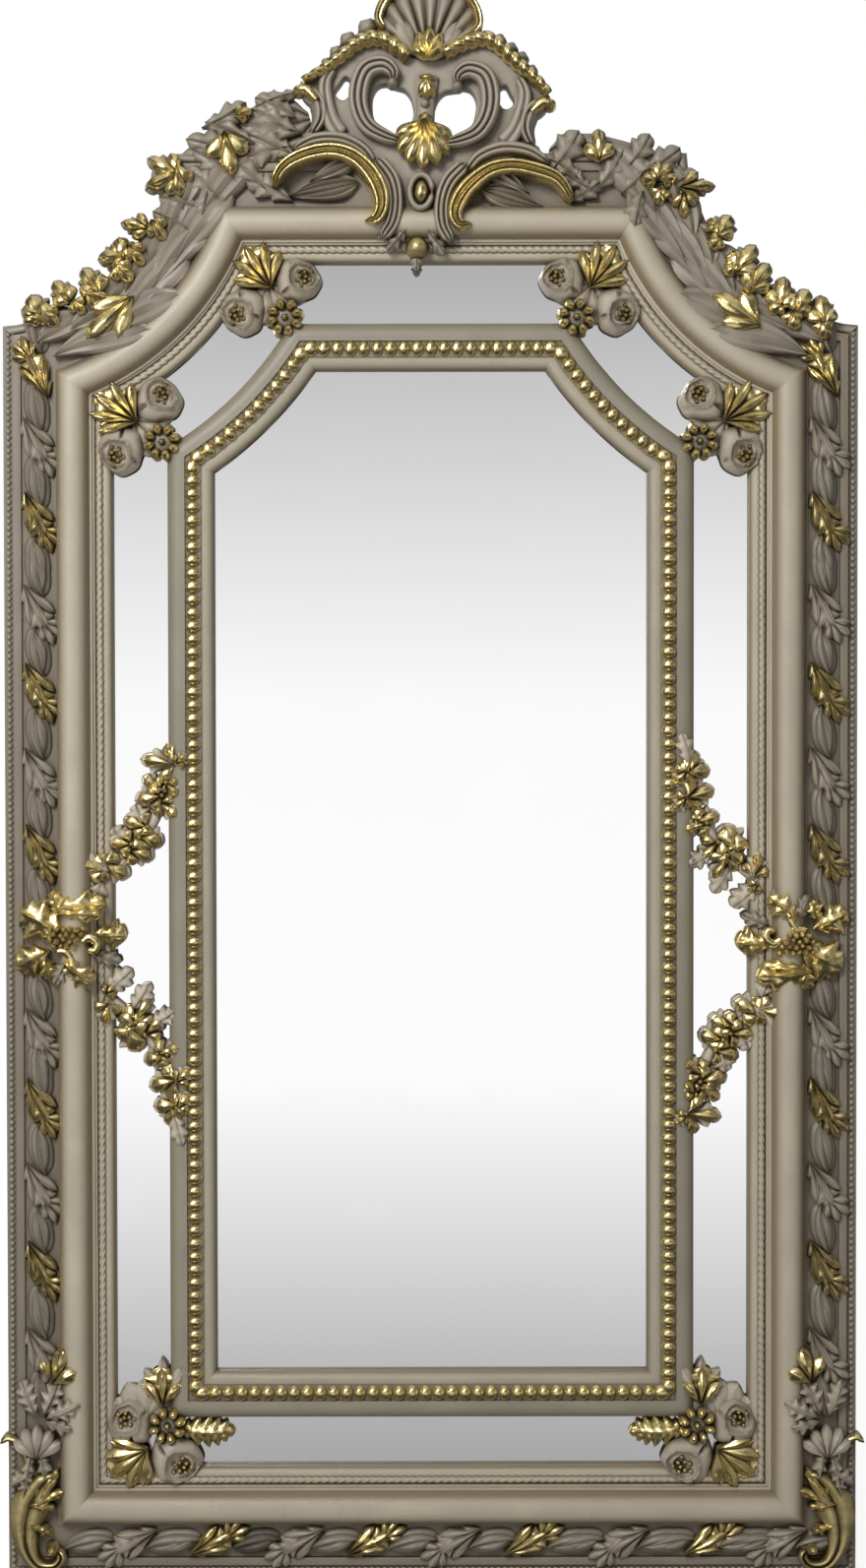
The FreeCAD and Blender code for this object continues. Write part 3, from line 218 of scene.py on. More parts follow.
# Brightness of the room that the glass and gilding show, by height of the direction
ROOM_LEVELS = ((-1.0, 0.03), (-0.36, 0.08), (-0.24, 0.48), (-0.14, 1.0), (-0.07, 1.0), (-0.01, 0.98), (0.075, 0.66),
               (0.185, 0.28), (0.32, 0.10), (0.55, 0.10), (0.75, 0.8), (1.0, 0.5))


class Outline:
    """Sight line of one frame: straight stiles and rails, and shoulders that bow into the opening."""

    def __init__(self, half, top, bottom, centre, radius):
        self.half, self.top, self.bottom = half, top, bottom
        self.centre, self.radius = centre, radius

    def shoulder_angles(self, out):
        """Angles at which the shoulder at this offset meets the stile and the top rail."""
        reach = self.radius - out
        at_stile = -np.pi + np.arccos((self.centre[0] - self.half - out) / reach)
        at_top = -np.pi + np.arcsin((self.centre[1] - self.top - out) / reach)
        return at_stile, at_top

    def run(self, member, out, share):
        """Points x and z of a member's lines: a row for each share of its length, a column for each offset."""
        out = np.broadcast_to(np.asarray(out, float), (len(share), np.shape(out)[-1]))
        share = np.asarray(share, float)[:, None]
        side = -1.0 if "left" in member else 1.0
        at_stile, at_top = self.shoulder_angles(out)
        reach = self.radius - out
        if "shoulder" in member:
            angle = at_stile + (at_top - at_stile) * share
            return side * (self.centre[0] + reach * np.cos(angle)), self.centre[1] + reach * np.sin(angle)
        if "stile" in member:
            low, high = self.bottom - out, self.centre[1] + reach * np.sin(at_stile)
            return side * (self.half + out) + 0 * share, low + (high - low) * share
        if "bottom" in member:
            end, level = self.half + out, self.bottom - out
        else:
            end, level = self.centre[0] + reach * np.cos(at_top), self.top + out
        return end * (2 * share - 1), level + 0 * share

    def length(self, member, out):
        """Length of a member's line at one offset."""
        x, z = self.run(member, np.array([out]), np.linspace(0, 1, 33))
        return float(np.hypot(np.diff(x[:, 0]), np.diff(z[:, 0])).sum())

    def stations(self, member, out, share):
        """Places along a member's line at one offset, each with the line's direction in degrees."""
        x, z = (line[:, 0] for line in self.run(member, np.array([out]), share))
        ways = zip(np.gradient(z), np.gradient(x))
        return [(a, c, math.degrees(math.atan2(*way))) for a, c, way in zip(x, z, ways)]

    def offset(self, x, z):
        """How far outside the sight line points lie."""
        bow = self.radius - np.hypot(np.abs(x) - self.centre[0], z - self.centre[1])
        return np.maximum.reduce([np.abs(x) - self.half, self.bottom - z, z - self.top, bow])


OUTER = Outline(*OUTER_SIGHT)
INNER = Outline(*INNER_SIGHT)
MEMBERS = ("left_stile", "right_stile", "top_rail", "bottom_rail", "left_shoulder_rail", "right_shoulder_rail")


def bed(x, z):
    """Depth at which a casting lies at these points: on either frame, on the glass, or free of the frame."""
    outer, inner = OUTER.offset(x, z), INNER.offset(x, z)
    on_outer = np.interp(outer, *zip(*OUTER_BED))
    on_inner = np.interp(inner, *zip(*INNER_BED))
    on_glass = np.where((inner >= 0) & (inner <= INNER_WIDTH), on_inner, GLASS_FACE)
    return np.where(outer >= 0, on_outer, on_glass)


def arc(start, through, end, steps):
    """Points of the circle that goes through three points, from the first to the last."""
    a, b, c = (complex(*p) for p in (start, through, end))
    w = (c - a) / (b - a)
    centre = (b - a) * (w - abs(w) ** 2) / (2j * w.imag) + a
    turns = [np.angle((p - centre) / (a - centre)) for p in (b, c)]
    full = turns[1] if 0 <= turns[0] / (turns[1] or 1) <= 1 else turns[1] - math.copysign(2 * math.pi, turns[1])
    return [((p := centre + (a - centre) * np.exp(1j * full * k / steps)).real, p.imag) for k in range(steps + 1)]


# Profiles of the mouldings, as offset from the sight edge and depth
OUTER_FACE = [*arc((0, 33), (2.6, 39.4), (10, 42), 6), (20.5, 42), (20.5, 46), (23, 46.4), (23, 49.5), (26, 50),
              *arc((26, 50), (44.5, 67.6), (64, 53.6), 18)]
OUTER_EDGE = [(64, 53.6), (64, 47), (68, 47), (68, 44), (106, 44), (106, 48), (110, 48.6), (115, 48), (115, 43),
              (127, 43)]
INNER_FACE = [*arc((0, 32), (3.4, 39.2), (13, 42), 6), (16, 42), (16, 44)]
INNER_CHANNEL = [(16, 44), (34, 44)]
INNER_COVE = [(34, 44), (34, 47), (39, 47), *arc((39, 47), (48.8, 44.4), (54.6, 38), 8), (53.5, 36)]


def curve(points, steps):
    """A smooth line through points, as x and z of equal steps."""
    rows = np.asarray(points, float)
    rows = np.vstack([2 * rows[0] - rows[1], rows, 2 * rows[-1] - rows[-2]])
    fine = []
    for k in range(1, len(rows) - 2):
        before, here, there, after = rows[k - 1:k + 3]
        for t in np.linspace(0, 1, 12, endpoint=False):
            fine.append(0.5 * (2 * here + (there - before) * t + (2 * before - 5 * here + 4 * there - after) * t ** 2
                               + (3 * here - before - 3 * there + after) * t ** 3))
    fine = np.array(fine + [rows[-2]])
    along = np.concatenate([[0], np.cumsum(np.hypot(*np.diff(fine, axis=0).T))])
    even = np.linspace(0, along[-1], steps + 1)
    return np.interp(even, along, fine[:, 0]), np.interp(even, along, fine[:, 1])


def normals(x, z):
    """Unit directions to the left of a line's travel."""
    dx, dz = np.gradient(x), np.gradient(z)
    size = np.hypot(dx, dz) + 1e-9
    return -dz / size, dx / size


def spread(values, count):
    """Widths given along a line, for each of its points."""
    return np.interp(np.linspace(0, 1, count), np.linspace(0, 1, len(values)), values)


def evenly(count):
    """Shares of a line at the middles of so many equal parts."""
    return (np.arange(count) + 0.5) / count


def toward(x, z, reach, angle):
    """The point that lies a reach away from another, at an angle in radians."""
    return x + reach * math.cos(angle), z + reach * math.sin(angle)


def moved(points, anchor):
    """Points of a drawing, carried to its anchor."""
    return [(anchor[0] + x, anchor[1] + z) for x, z in points]


def flipped(points, way):
    """Points of a drawing, mirrored where way is -1."""
    return [(way * x, z) for x, z in points]


class Carving:
    """One carved or cast piece, gathered sheet by sheet: millimetres across, deep and up.

    What is gilt picks the finish: False the paint, True the gold, and a number any finish in the piece's list.
    """

    def __init__(self, stand="left"):
        self.corners, self.faces, self.finishes, self.count, self.stand = [], [], [], 0, stand

    def place(self, x, z):
        """Where a point of the left or leaning drawing stands on the mirror."""
        if self.stand == "right":
            return -x, z
        if self.stand == "turned":
            return -x, 2 * CARTOUCHE[1] - z
        if self.stand == "crest":
            c, s = math.cos(CREST_LEAN), math.sin(CREST_LEAN)
            return CREST_X + x * c + z * s, CREST_FOOT - x * s + z * c
        return x, z

    def sheet(self, x, depth, z, gilt, placed=False):
        """Adds a grid of points, faced away from the wall."""
        x, depth, z = np.broadcast_arrays(x, depth, z)
        if not placed:
            x, z = self.place(x, z)
        points = np.stack([x, -depth, z], axis=-1) * MM
        rows, cols = x.shape
        flat = points.reshape(-1, 3)
        i, j = np.meshgrid(np.arange(rows - 1), np.arange(cols - 1), indexing="ij")
        a = (i * cols + j).ravel()
        quads = np.stack([a, a + 1, a + cols + 1, a + cols], axis=1)
        p = flat[quads]
        facing = np.cross(p[:, 2] - p[:, 0], p[:, 3] - p[:, 1])
        behind = flat.mean(axis=0) + (0, 0.02, 0)
        if (facing * (p.mean(axis=1) - behind)).sum() < 0:
            quads = quads[:, ::-1]
        self.corners.append(flat)
        self.faces.append(quads + self.count)
        self.finishes.append(np.full(len(quads), int(gilt)))
        self.count += len(flat)

    def leaf(self, row, gilt, rise=11.0, at=(0, 0), base=0.0, lobes=None, curl=0.0, fuller=0.85, level=None,
             flutes=0):
        """A carved leaf with forward lobes or lengthwise flutes and a midrib, laid on the bed or on a level."""
        x, z, angle, length, width = row
        lobes = lobes if lobes is not None else int(np.clip(round(length / 11), 2, 6))
        u = np.linspace(0, 1, 5 * max(lobes, 3) + 1)[:, None]
        t = np.linspace(-1, 1, max(11, 4 * flutes + 1))[None, :]
        tooth = (lobes * u) % 1.0 if lobes else np.full_like(u, 0.7)
        half = width / 2 * np.sin(np.pi * u ** fuller) ** 0.75 * (0.62 + 0.42 * tooth ** 0.7)
        turn = np.radians(angle + curl * (u - 0.3))
        step = length / (len(u) - 1)
        spine_x = np.concatenate([[[0.0]], np.cumsum(np.cos(turn[1:]) * step, axis=0)])
        spine_z = np.concatenate([[[0.0]], np.cumsum(np.sin(turn[1:]) * step, axis=0)])
        sweep = 0.10 * length * np.abs(t) ** 1.5 * np.sin(np.pi * u)
        px = at[0] + x + spine_x + np.cos(turn) * sweep - np.sin(turn) * t * half
        pz = at[1] + z + spine_z + np.sin(turn) * sweep + np.cos(turn) * t * half
        crown = 0.45 + 0.55 * np.sin(np.pi * np.clip(0.12 + 0.86 * u, 0, 1)) ** 0.7
        relief = crown * (1 - 0.62 * np.abs(t) ** 1.7)
        rib = 1.0 if lobes else 0.3
        relief = relief + rib * (0.13 * np.exp(-(t / 0.11) ** 2) - 0.16 * np.exp(-((np.abs(t) - 0.27) / 0.13) ** 2))
        relief = relief + 0.20 * np.abs(t) * np.cos(2 * np.pi * (tooth - 0.62)) * np.sin(np.pi * u)
        relief = relief + (0.15 if flutes else 0.0) * np.cos(np.pi * flutes * t) * np.sin(np.pi * (0.08 + 0.84 * u))
        relief = relief + 0.05 * np.sin(x * 1.3 + 7 * u + 3 * t) * np.sin(z + 5 * t)
        sx, sz = self.place(px, pz)
        ground = np.maximum(bed(sx, sz), base) if level is None else np.full_like(sx, level)
        ground = 0.5 * ground + 0.5 * ground.mean()
        depth = ground + rise * np.maximum(relief, 0.16)
        skirt = ground - 3.0
        sx = np.concatenate([sx[:, :1], sx, sx[:, -1:], sx[:, :1]], axis=1)
        sz = np.concatenate([sz[:, :1], sz, sz[:, -1:], sz[:, :1]], axis=1)
        depth = np.concatenate([skirt[:, :1], depth, skirt[:, -1:], skirt[:, :1]], axis=1)
        self.sheet(sx, depth, sz, gilt, placed=True)

    def dome(self, x, z, half, base, rise, gilt, stretch=1.0, angle=0.0, sides=12, rings=4, flutes=0, bite=0.0,
             full=1.0):
        """A bead or boss that swells from its base."""
        lift = np.linspace(0, np.pi / 2, rings + 1)[:, None]
        round_ = np.linspace(0, 2 * np.pi, sides + 1)[None, :]
        r = half * np.clip(np.cos(lift), 0, 1) ** full * (1 - bite * (0.5 - 0.5 * np.cos(flutes * round_)))
        r, lift = np.concatenate([0 * r[:1], r]), np.concatenate([lift[:1], lift])
        a, b = r * np.cos(round_) * stretch, r * np.sin(round_)
        c, s = math.cos(math.radians(angle)), math.sin(math.radians(angle))
        self.sheet(x + a * c - b * s, base + rise * np.sin(lift) + 0 * round_, z + a * s + b * c, gilt)

    def fan(self, row, gilt, rise, at=(0, 0), base=0.0, level=None, taper=0.22, fuller=1.35):
        """Broad fluted lobes that spread from one stem, the middle one longest and on top."""
        x, z, angle, spread_, count, length, width = row
        middle = (count - 1) / 2
        for k in sorted(range(count), key=lambda lobe: -abs(lobe - middle)):
            off = (k - middle) / middle
            self.leaf((x, z, angle + off * spread_ / 2, length * (1 - taper * off ** 2), width), gilt,
                      rise * (1 - 0.18 * abs(off)), at, base, 0, 8 * off, fuller, level)

    def cluster(self, row, rise, at=(0, 0), base=0.0):
        """A gilt blossom of three lobes on a painted backing leaf."""
        x, z, angle, length, width = row
        start = toward(x, z, -0.16 * length, math.radians(angle))
        self.leaf((*start, angle, length * 1.3, width * 1.7), False, rise * 0.55, at, base - 4, 3)
        self.fan((x, z, angle, 112, 3, length * 1.02, width * 0.84), True, rise, at, base, taper=0.3, fuller=1.6)
        self.dome(at[0] + x, at[1] + z, 3.4, base + 3, rise * 0.9, True, sides=10)

    def rose(self, x, z, radius, base, rise, way):
        """A full rose: smooth outer petals round a cup that opens one way, with a bud and gilt stamens in it."""
        around = np.linspace(0, 2 * np.pi, 49)[None, :]
        r = np.concatenate([[0.0], np.linspace(1.0, 0.0, 21)])[:, None]
        a, b = r * np.cos(around), r * np.sin(around)
        cup = toward(0, 0, 0.27, way)
        d = np.hypot(a - cup[0], b - cup[1]) / 0.62
        fold = np.exp(-(np.sin(1.5 * around + way) / 0.14) ** 2)
        fold = fold * np.clip(3 * d - 3, 0, 1) * np.clip(4 - 4 * r, 0, 1)
        lip = 0.16 * np.exp(-((d - 1) / 0.10) ** 2)
        h = np.sqrt(np.clip(1.02 - r ** 2, 0, 1)) + lip - 0.52 * np.clip(1 - d ** 2, 0, 1) ** 0.8
        inner = 0.5 + 0.5 * np.cos(np.arctan2(b - cup[1], a - cup[0]) - way)
        petal, heart = np.exp(-((d - 0.62) / 0.13) ** 2), np.exp(-((d - 0.30) / 0.12) ** 2)
        h = h + 0.30 * petal * inner + 0.20 * heart * (1 - inner)
        h[0] = 0.0
        wave = 1 + 0.06 * np.cos(3 * around + way) + 0.02 * np.cos(8 * around)
        self.sheet(x + radius * a * wave, base - 4 + (rise + 4) * (h - 0.35 * fold), z + radius * b * wave, False)
        for k in range(9):
            spot = toward(x + radius * cup[0], z + radius * cup[1], radius * (0.12 + 0.035 * k), way + 2.4 * k)
            self.dome(*spot, radius * 0.12, base + rise * 0.34, rise * 0.46, True, sides=8, rings=3)

    def flower(self, x, z, radius, base, rise, petals=8):
        """Gilt knobs round a low eye."""
        for k in range(petals):
            turn = 2 * math.pi * k / petals + 0.3
            spot = toward(x, z, radius * 0.68, turn)
            self.dome(*spot, radius * 0.26, base - 2, rise + 2, True, 1.25, math.degrees(turn))
        self.dome(x, z, radius * 0.62, base - 4, rise * 0.35, False, sides=16)
        self.dome(x, z, radius * 0.22, base, rise * 0.7, True, sides=12, flutes=6, bite=0.3)

    def ribbon(self, points, widths, back, front, gilt, flutes=3, groove=0.25, slope=0.0, steps=48, side=1.0):
        """A fluted band along a curve, with an inner side that slopes back to its seat."""
        x, z = curve(points, steps)
        nx, nz = normals(x, z)
        half = spread(widths, len(x)) / 2
        lanes = flutes * 6 + 1
        t = np.linspace(-1, 1, lanes)
        swell = np.abs(np.sin(np.pi * flutes * (t + 1) / 2)) ** 0.6
        top = front - groove * (front - back) * (1 - swell) - 0.10 * (front - back) * t ** 2
        across = np.concatenate([[-1.0, -1.0], t * (1 - slope) - slope, [1.0, 1.0, -1.0]])
        depth = np.concatenate([[back, front - 0.45 * (front - back)], top, [back + 0.25 * (front - back), back, back]])
        ease = np.clip(np.minimum(np.arange(len(x)), np.arange(len(x))[::-1]) / 3.0, 0.15, 1) ** 0.5
        px = x[:, None] + side * nx[:, None] * across[None, :] * (half * ease)[:, None]
        pz = z[:, None] + side * nz[:, None] * across[None, :] * (half * ease)[:, None]
        self.sheet(px, back + (depth[None, :] - back) * (0.6 + 0.4 * ease[:, None]), pz, gilt)

    def twist(self, points, widths, back, front, gilt, pitch, bite=0.35):
        """A gadrooned band: slanting swellings one after another along a curve."""
        x, z = curve(points, 120)
        nx, nz = normals(x, z)
        half = spread(widths, len(x)) / 2
        run = np.concatenate([[0], np.cumsum(np.hypot(np.diff(x), np.diff(z)))])[:, None]
        round_ = np.append(np.linspace(0, np.pi, 11), 0)[None, :]
        beat = np.abs(np.sin(np.pi * run / pitch + 0.9 * np.cos(round_))) ** 0.6
        r = 1 - bite * (1 - beat)
        across = np.cos(round_) * half[:, None] * r
        self.sheet(x[:, None] + nx[:, None] * across, back + (front - back) * np.sin(round_) * r,
                   z[:, None] + nz[:, None] * across, gilt)

    def piece(self, name, node, slot, finishes, body="frame"):
        """Makes the object, which stands for its CAD node. The slot is not used."""
        mesh = bpy.data.meshes.new(name)
        corners, faces = np.concatenate(self.corners), np.concatenate(self.faces)
        mesh.from_pydata(corners.tolist(), [], faces.tolist())
        for finish in finishes:
            mesh.materials.append(finish)
        mesh.polygons.foreach_set("material_index", np.concatenate(self.finishes).astype(np.int32))
        settle(mesh, name, node, body)


def stand_up(name, data):
    """Puts new data in the scene as an object."""
    thing = bpy.data.objects.new(name, data)
    bpy.context.scene.collection.objects.link(thing)
    return thing


def settle(mesh, name, node, body):
    """Shades a mesh, puts it in the scene, ties it to its body and hides the CAD node it stands for."""
    mesh.validate()
    mesh.shade_smooth()
    mesh.set_sharp_from_angle(angle=SHARP_EDGE)
    thing = stand_up(name, mesh)
    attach(thing, body)
    if node:
        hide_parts(node)


class Wire:
    """A shader socket that takes part in Python arithmetic."""

    def __init__(self, finish, socket):
        self.finish, self.socket = finish, socket

    def of(self, name):
        """Another output of the same node."""
        return Wire(self.finish, self.socket.node.outputs[name])

    def math(self, operation, *others):
        """One Math node on this value."""
        values = dict(enumerate((self,) + others))
        return self.finish.node("ShaderNodeMath", {"operation": operation}, values)

    def __add__(self, other):
        return self.math("ADD", other)

    __radd__ = __add__

    def __mul__(self, other):
        return self.math("MULTIPLY", other)

    __rmul__ = __mul__

    def __sub__(self, other):
        return self.math("SUBTRACT", other)

    def __rsub__(self, other):
        return (self * -1.0) + other

    def over(self, other):
        """1 where this value is the greater."""
        return self.math("GREATER_THAN", other)

    def held(self):
        """This value kept between 0 and 1."""
        return self.math("MINIMUM", 1.0).math("MAXIMUM", 0.0)


class Finish:
    """A node material, or the world, and the one way nodes are added to it."""

    def __init__(self, owner):
        self.owner = owner
        owner.use_nodes = True
        self.tree = owner.node_tree
        self.tree.nodes.clear()

    def node(self, kind, settings=None, sockets=None):
        """Adds a node: its settings first, then the values or links of its sockets."""
        made = self.tree.nodes.new(kind)
        for key, value in (settings or {}).items():
            if key == "stops":
                while len(made.color_ramp.elements) < len(value):
                    made.color_ramp.elements.new(0.5)
                for element, (place, colour) in zip(made.color_ramp.elements, value):
                    element.position, element.color = place, colour
            else:
                setattr(made, key, value)
        for key, value in (sockets or {}).items():
            if isinstance(value, Wire):
                self.tree.links.new(value.socket, made.inputs[key])
            else:
                made.inputs[key].default_value = value
        return Wire(self, made.outputs[0]) if made.outputs else None

    def spot(self):
        """Places on the object, for its textures."""
        return self.node("ShaderNodeTexCoord").of("Object")

    def openness(self, distance):
        """1 on the high places and less in the hollows."""
        return self.node("ShaderNodeAmbientOcclusion", {"samples": 8}, {"Distance": distance}).of("AO")

    def forward(self):
        """1 on what faces the room, -1 on what faces the wall."""
        normal = self.node("ShaderNodeNewGeometry").of("Normal")
        return self.node("ShaderNodeSeparateXYZ", None, {"Vector": normal}).of("Y") * -1.0

    def mix(self, factor, one, other):
        """Colour between two colours."""
        made = self.node("ShaderNodeMix", {"data_type": "RGBA"}, {0: factor, 6: one, 7: other})
        return Wire(self, made.socket.node.outputs[2])

    def noise(self, place, scale, detail=3.0, stretch=None):
        """Noise between 0 and 1, drawn out along an axis where a stretch is given."""
        if stretch:
            place = self.node("ShaderNodeMapping", None, {"Vector": place, "Scale": stretch})
        return self.node("ShaderNodeTexNoise", None, {"Vector": place, "Scale": scale, "Detail": detail})

    def surface(self, sockets, height=None, strength=0.2, distance=0.001):
        """Closes the material with a Principled surface and its bump."""
        if height is not None:
            bump = {"Height": height, "Strength": strength, "Distance": distance}
            sockets["Normal"] = self.node("ShaderNodeBump", None, bump)
        skin = self.node("ShaderNodeBsdfPrincipled", None, sockets)
        self.node("ShaderNodeOutputMaterial", None, {"Surface": skin})
        return self.owner


def new_finish(name):
    """An empty node material."""
    return Finish(bpy.data.materials.new(name))


def rgba(colour, factor=1.0):
    """A colour with its strength scaled."""
    return tuple(channel * factor for channel in colour[:3]) + (1.0,)


def antique_paint(name, tint, strength, hollow_antiquing_and_shade, turned_face_shade, bare_back=False):
    """Paint over brushed gesso, with a brown glaze and painted shade in the hollows, and painted shade on what doesn't
    face the room.
    """
    colours = bpy.context.scene.mirror_colours
    colour = [channel * strength for channel in getattr(colours, tint)]
    coat = new_finish(name)
    place = coat.spot()
    clouds = coat.noise(place, 13.0, 4.0)
    specks = coat.noise(place, 190.0, 3.0)
    brush = coat.noise(place, 90.0, 3.0, (1.0, 1.0, 0.12))
    forward = coat.forward()
    turned = 1.0 - forward.held()
    # Painted shade: darker in the hollows that AO finds, partly a real brown glaze, and darker on faces turned from the
    # room.
    antiquing_and_shade = ((1.0 - coat.openness(0.014)) * hollow_antiquing_and_shade - 0.10) + turned * turned_face_shade
    antiquing_and_shade = (antiquing_and_shade + (clouds - 0.5) * 0.30 + (specks - 0.5) * 0.22).held()
    worn = coat.mix(((clouds - 0.38) * 1.6).held(), rgba(colour, 0.84), rgba(colour, 1.12))
    # The cream goes toward the brown by that glaze and painted shade.
    shade = coat.mix(antiquing_and_shade, worn, rgba(colours.antiquing_and_shade_tint, 1.0 + 0.40 * turned_face_shade))
    shade = coat.mix(((brush - 0.60) * 1.8).held() * 0.35, shade, rgba(colours.antiquing_and_shade_tint, 1.7))
    if bare_back:
        rear = (forward * -1.0).over(0.6)
        grain = coat.noise(place, 24.0, 5.0, (6.0, 6.0, 0.4))
        shade = coat.mix(rear, shade, coat.mix(grain, rgba(colours.wood, 0.75), rgba(colours.wood, 1.15)))
    return coat.surface({"Base Color": shade, "Roughness": 0.36 + specks * 0.22, "Specular IOR Level": 0.5},
                        specks * 0.5 + brush * 0.5, 0.20, 0.0006)


def gold_leaf(name, grime_and_shade_strength, tarnish=0.0):
    """Gold leaf on a brown size: bright on the high places, rubbed, dirty and with painted shade in the hollows, and
    with painted shade on what doesn't face the room.
    """
    colours = bpy.context.scene.mirror_colours
    leaf = new_finish(name)
    place = leaf.spot()
    patches = leaf.noise(place, 70.0, 4.0)
    grain = leaf.noise(place, 330.0, 3.0)
    turned = 1.0 - leaf.forward().held()
    # Painted shade: darker in the hollows that AO finds, partly real dirt, and on faces turned from the room; the
    # random patches and tarnish are real.
    grime_and_shade = ((1.0 - leaf.openness(0.012)) * 1.7 - 0.16) * grime_and_shade_strength + turned * (0.28 * grime_and_shade_strength)
    grime_and_shade = (grime_and_shade + (patches - 0.52) * (0.9 * grime_and_shade_strength) + tarnish).held()
    metal = leaf.mix(((patches - 0.4) * 2.2).held(), rgba(colours.gold), rgba(colours.gold, 0.78))
    shade = leaf.mix(grime_and_shade, metal, rgba(colours.gilt_grime_and_shade))
    dull = 0.20 + grain * 0.16 + grime_and_shade * 0.25
    return leaf.surface({"Base Color": shade, "Metallic": 1.0 - grime_and_shade * 0.5, "Roughness": dull},
                        grain * 0.3 + patches * 0.7, 0.45, 0.0016)


def mirror_silver(name):
    """Silvered glass with a faint unevenness in the silver."""
    silver = new_finish(name)
    haze = silver.noise(silver.spot(), 7.0, 3.0)
    shade = silver.mix(haze, (0.955, 0.96, 0.955, 1.0), (0.985, 0.988, 0.985, 1.0))
    return silver.surface({"Base Color": shade, "Metallic": 1.0, "Roughness": 0.008 + haze * 0.012})


def timber(name, tint, scale, stretch):
    """Sawn wood with its grain along one axis."""
    colour = getattr(bpy.context.scene.mirror_colours, tint)
    wood = new_finish(name)
    place = wood.spot()
    grain = wood.noise(place, scale, 6.0, stretch)
    pores = wood.noise(place, scale * 9, 3.0, stretch)
    figure = ((grain * 0.8 + pores * 0.3) - 0.2).held()
    shade = wood.mix(figure, rgba(colour, 0.62), rgba(colour, 1.18))
    return wood.surface({"Base Color": shade, "Roughness": 0.62 + grain * 0.2},
                        grain * 0.6 + pores * 0.4, 0.25, 0.0008)


def zinc(name):
    """Bright zinc-plated steel with a dull bloom."""
    colours = bpy.context.scene.mirror_colours
    plate = new_finish(name)
    place = plate.spot()
    bloom = plate.noise(place, 120.0, 4.0)
    drawn = plate.noise(place, 500.0, 2.0, (1.0, 1.0, 0.05))
    shade = plate.mix(bloom, rgba(colours.steel, 0.78), rgba(colours.steel, 1.1))
    return plate.surface({"Base Color": shade, "Metallic": 0.95, "Roughness": 0.30 + drawn * 0.15 + bloom * 0.1},
                         drawn, 0.1, 0.0003)


# Finishes: maker and material name, then for paint the colour, its strength, the brown glaze and painted shade in
# hollows, the painted shade on turned faces and a bare back, for gold its soil and painted shade and its tarnish, for
# wood the colour, scale and stretch of the grain
RECIPES = {
    "paint": (antique_paint, "moulding_paint", "cream", 1.0, 0.6, 2.9),
    "inner": (antique_paint, "inner_frame_paint", "cream", 0.86, 0.9, 2.2),
    # The cove takes a darker copy of the cream as painted shade in the cove.
    "cove": (antique_paint, "inner_cove_paint", "cream", 0.60, 1.0, 1.6),
    "band": (antique_paint, "band_paint", "stone", 0.66, 0.9, 0.5),
    "board": (antique_paint, "crest_board_paint", "stone", 1.0, 1.3, 0.3, True),
    "petal": (antique_paint, "petal_paint", "stone", 1.3, 1.2, 0.3),
    "pale": (antique_paint, "pale_carving_paint", "stone", 1.65, 1.3, 0.25),
    "carved": (antique_paint, "carving_paint", "stone", 1.0, 1.3, 0.3),
    "dim": (antique_paint, "dim_carving_paint", "stone", 0.90, 0.95, 0.25),
    "ground": (antique_paint, "ground_paint", "ground", 1.0, 1.2, 0.3),
    "member": (antique_paint, "member_paint", "ground", 1.0, 1.2, 0.3, True),
    "gold": (gold_leaf, "worn_gold_leaf", 1.0),
    "bright_gold": (gold_leaf, "rubbed_gold_leaf", 0.4),
    "old_gold": (gold_leaf, "tarnished_gold_leaf", 1.0, 0.55),
    "mirror": (mirror_silver, "mirror_silver"),
    "plywood": (timber, "plywood", "plywood", 16.0, (9.0, 9.0, 0.5)),
    "hardwood": (timber, "bare_hardwood", "wood", 22.0, (0.6, 7.0, 7.0)),
    "zinc": (zinc, "zinc_steel"),
}
FINISHES = {}


def finishes(*names):
    """Finishes by name, each made once."""
    for name in names:
        if name not in FINISHES:
            maker, *values = RECIPES[name]
            FINISHES[name] = maker(*values)
    return [FINISHES[name] for name in names]


def dress(node, finish):
    """Gives a CAD node that stays its finish."""
    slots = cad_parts[node].data.materials
    slots.clear()
    slots.append(finishes(finish)[0])


def tint_property(name, description, default):
    """A colour for the panel."""
    return FloatVectorProperty(name=name, description=description, subtype="COLOR", size=3, min=0, max=1,
                               default=default)


def number_property(name, description, default, unit="LENGTH"):
    """A size, power, angle or level for the panel."""
    return FloatProperty(name=name, description=description, unit=unit, default=default)


class MirrorColours(bpy.types.PropertyGroup):
    """Colours of the finishes."""
    cream: tint_property("Cream", "Paint on the high places", (0.440, 0.394, 0.294))
    stone: tint_property("Stone", "Paint on the carving", (0.335, 0.294, 0.230))
    ground: tint_property("Ground", "Paint behind the carving and on the outer edge", (0.215, 0.181, 0.134))
    # This brown is the real glaze in hollows and brush streaks, and also the painted shade in hollows and on turned
    # faces.
    antiquing_and_shade_tint: tint_property("Glaze", "Brown glaze left in the hollows", (0.098, 0.075, 0.046))
    gold: tint_property("Gold", "Leaf on the castings", (0.93, 0.76, 0.36))
    # This umber is the real dirt in the gilding and also its painted shade in hollows and on turned faces.
    gilt_grime_and_shade: tint_property("Umber", "Dirt in the gilding", (0.070, 0.046, 0.012))
    wood: tint_property("Hardwood", "Bare wood of the frame", (0.42, 0.27, 0.14))
    plywood: tint_property("Plywood", "Backboard", (0.56, 0.41, 0.25))
    steel: tint_property("Zinc", "Plated steel of the hangers", (0.62, 0.63, 0.64))


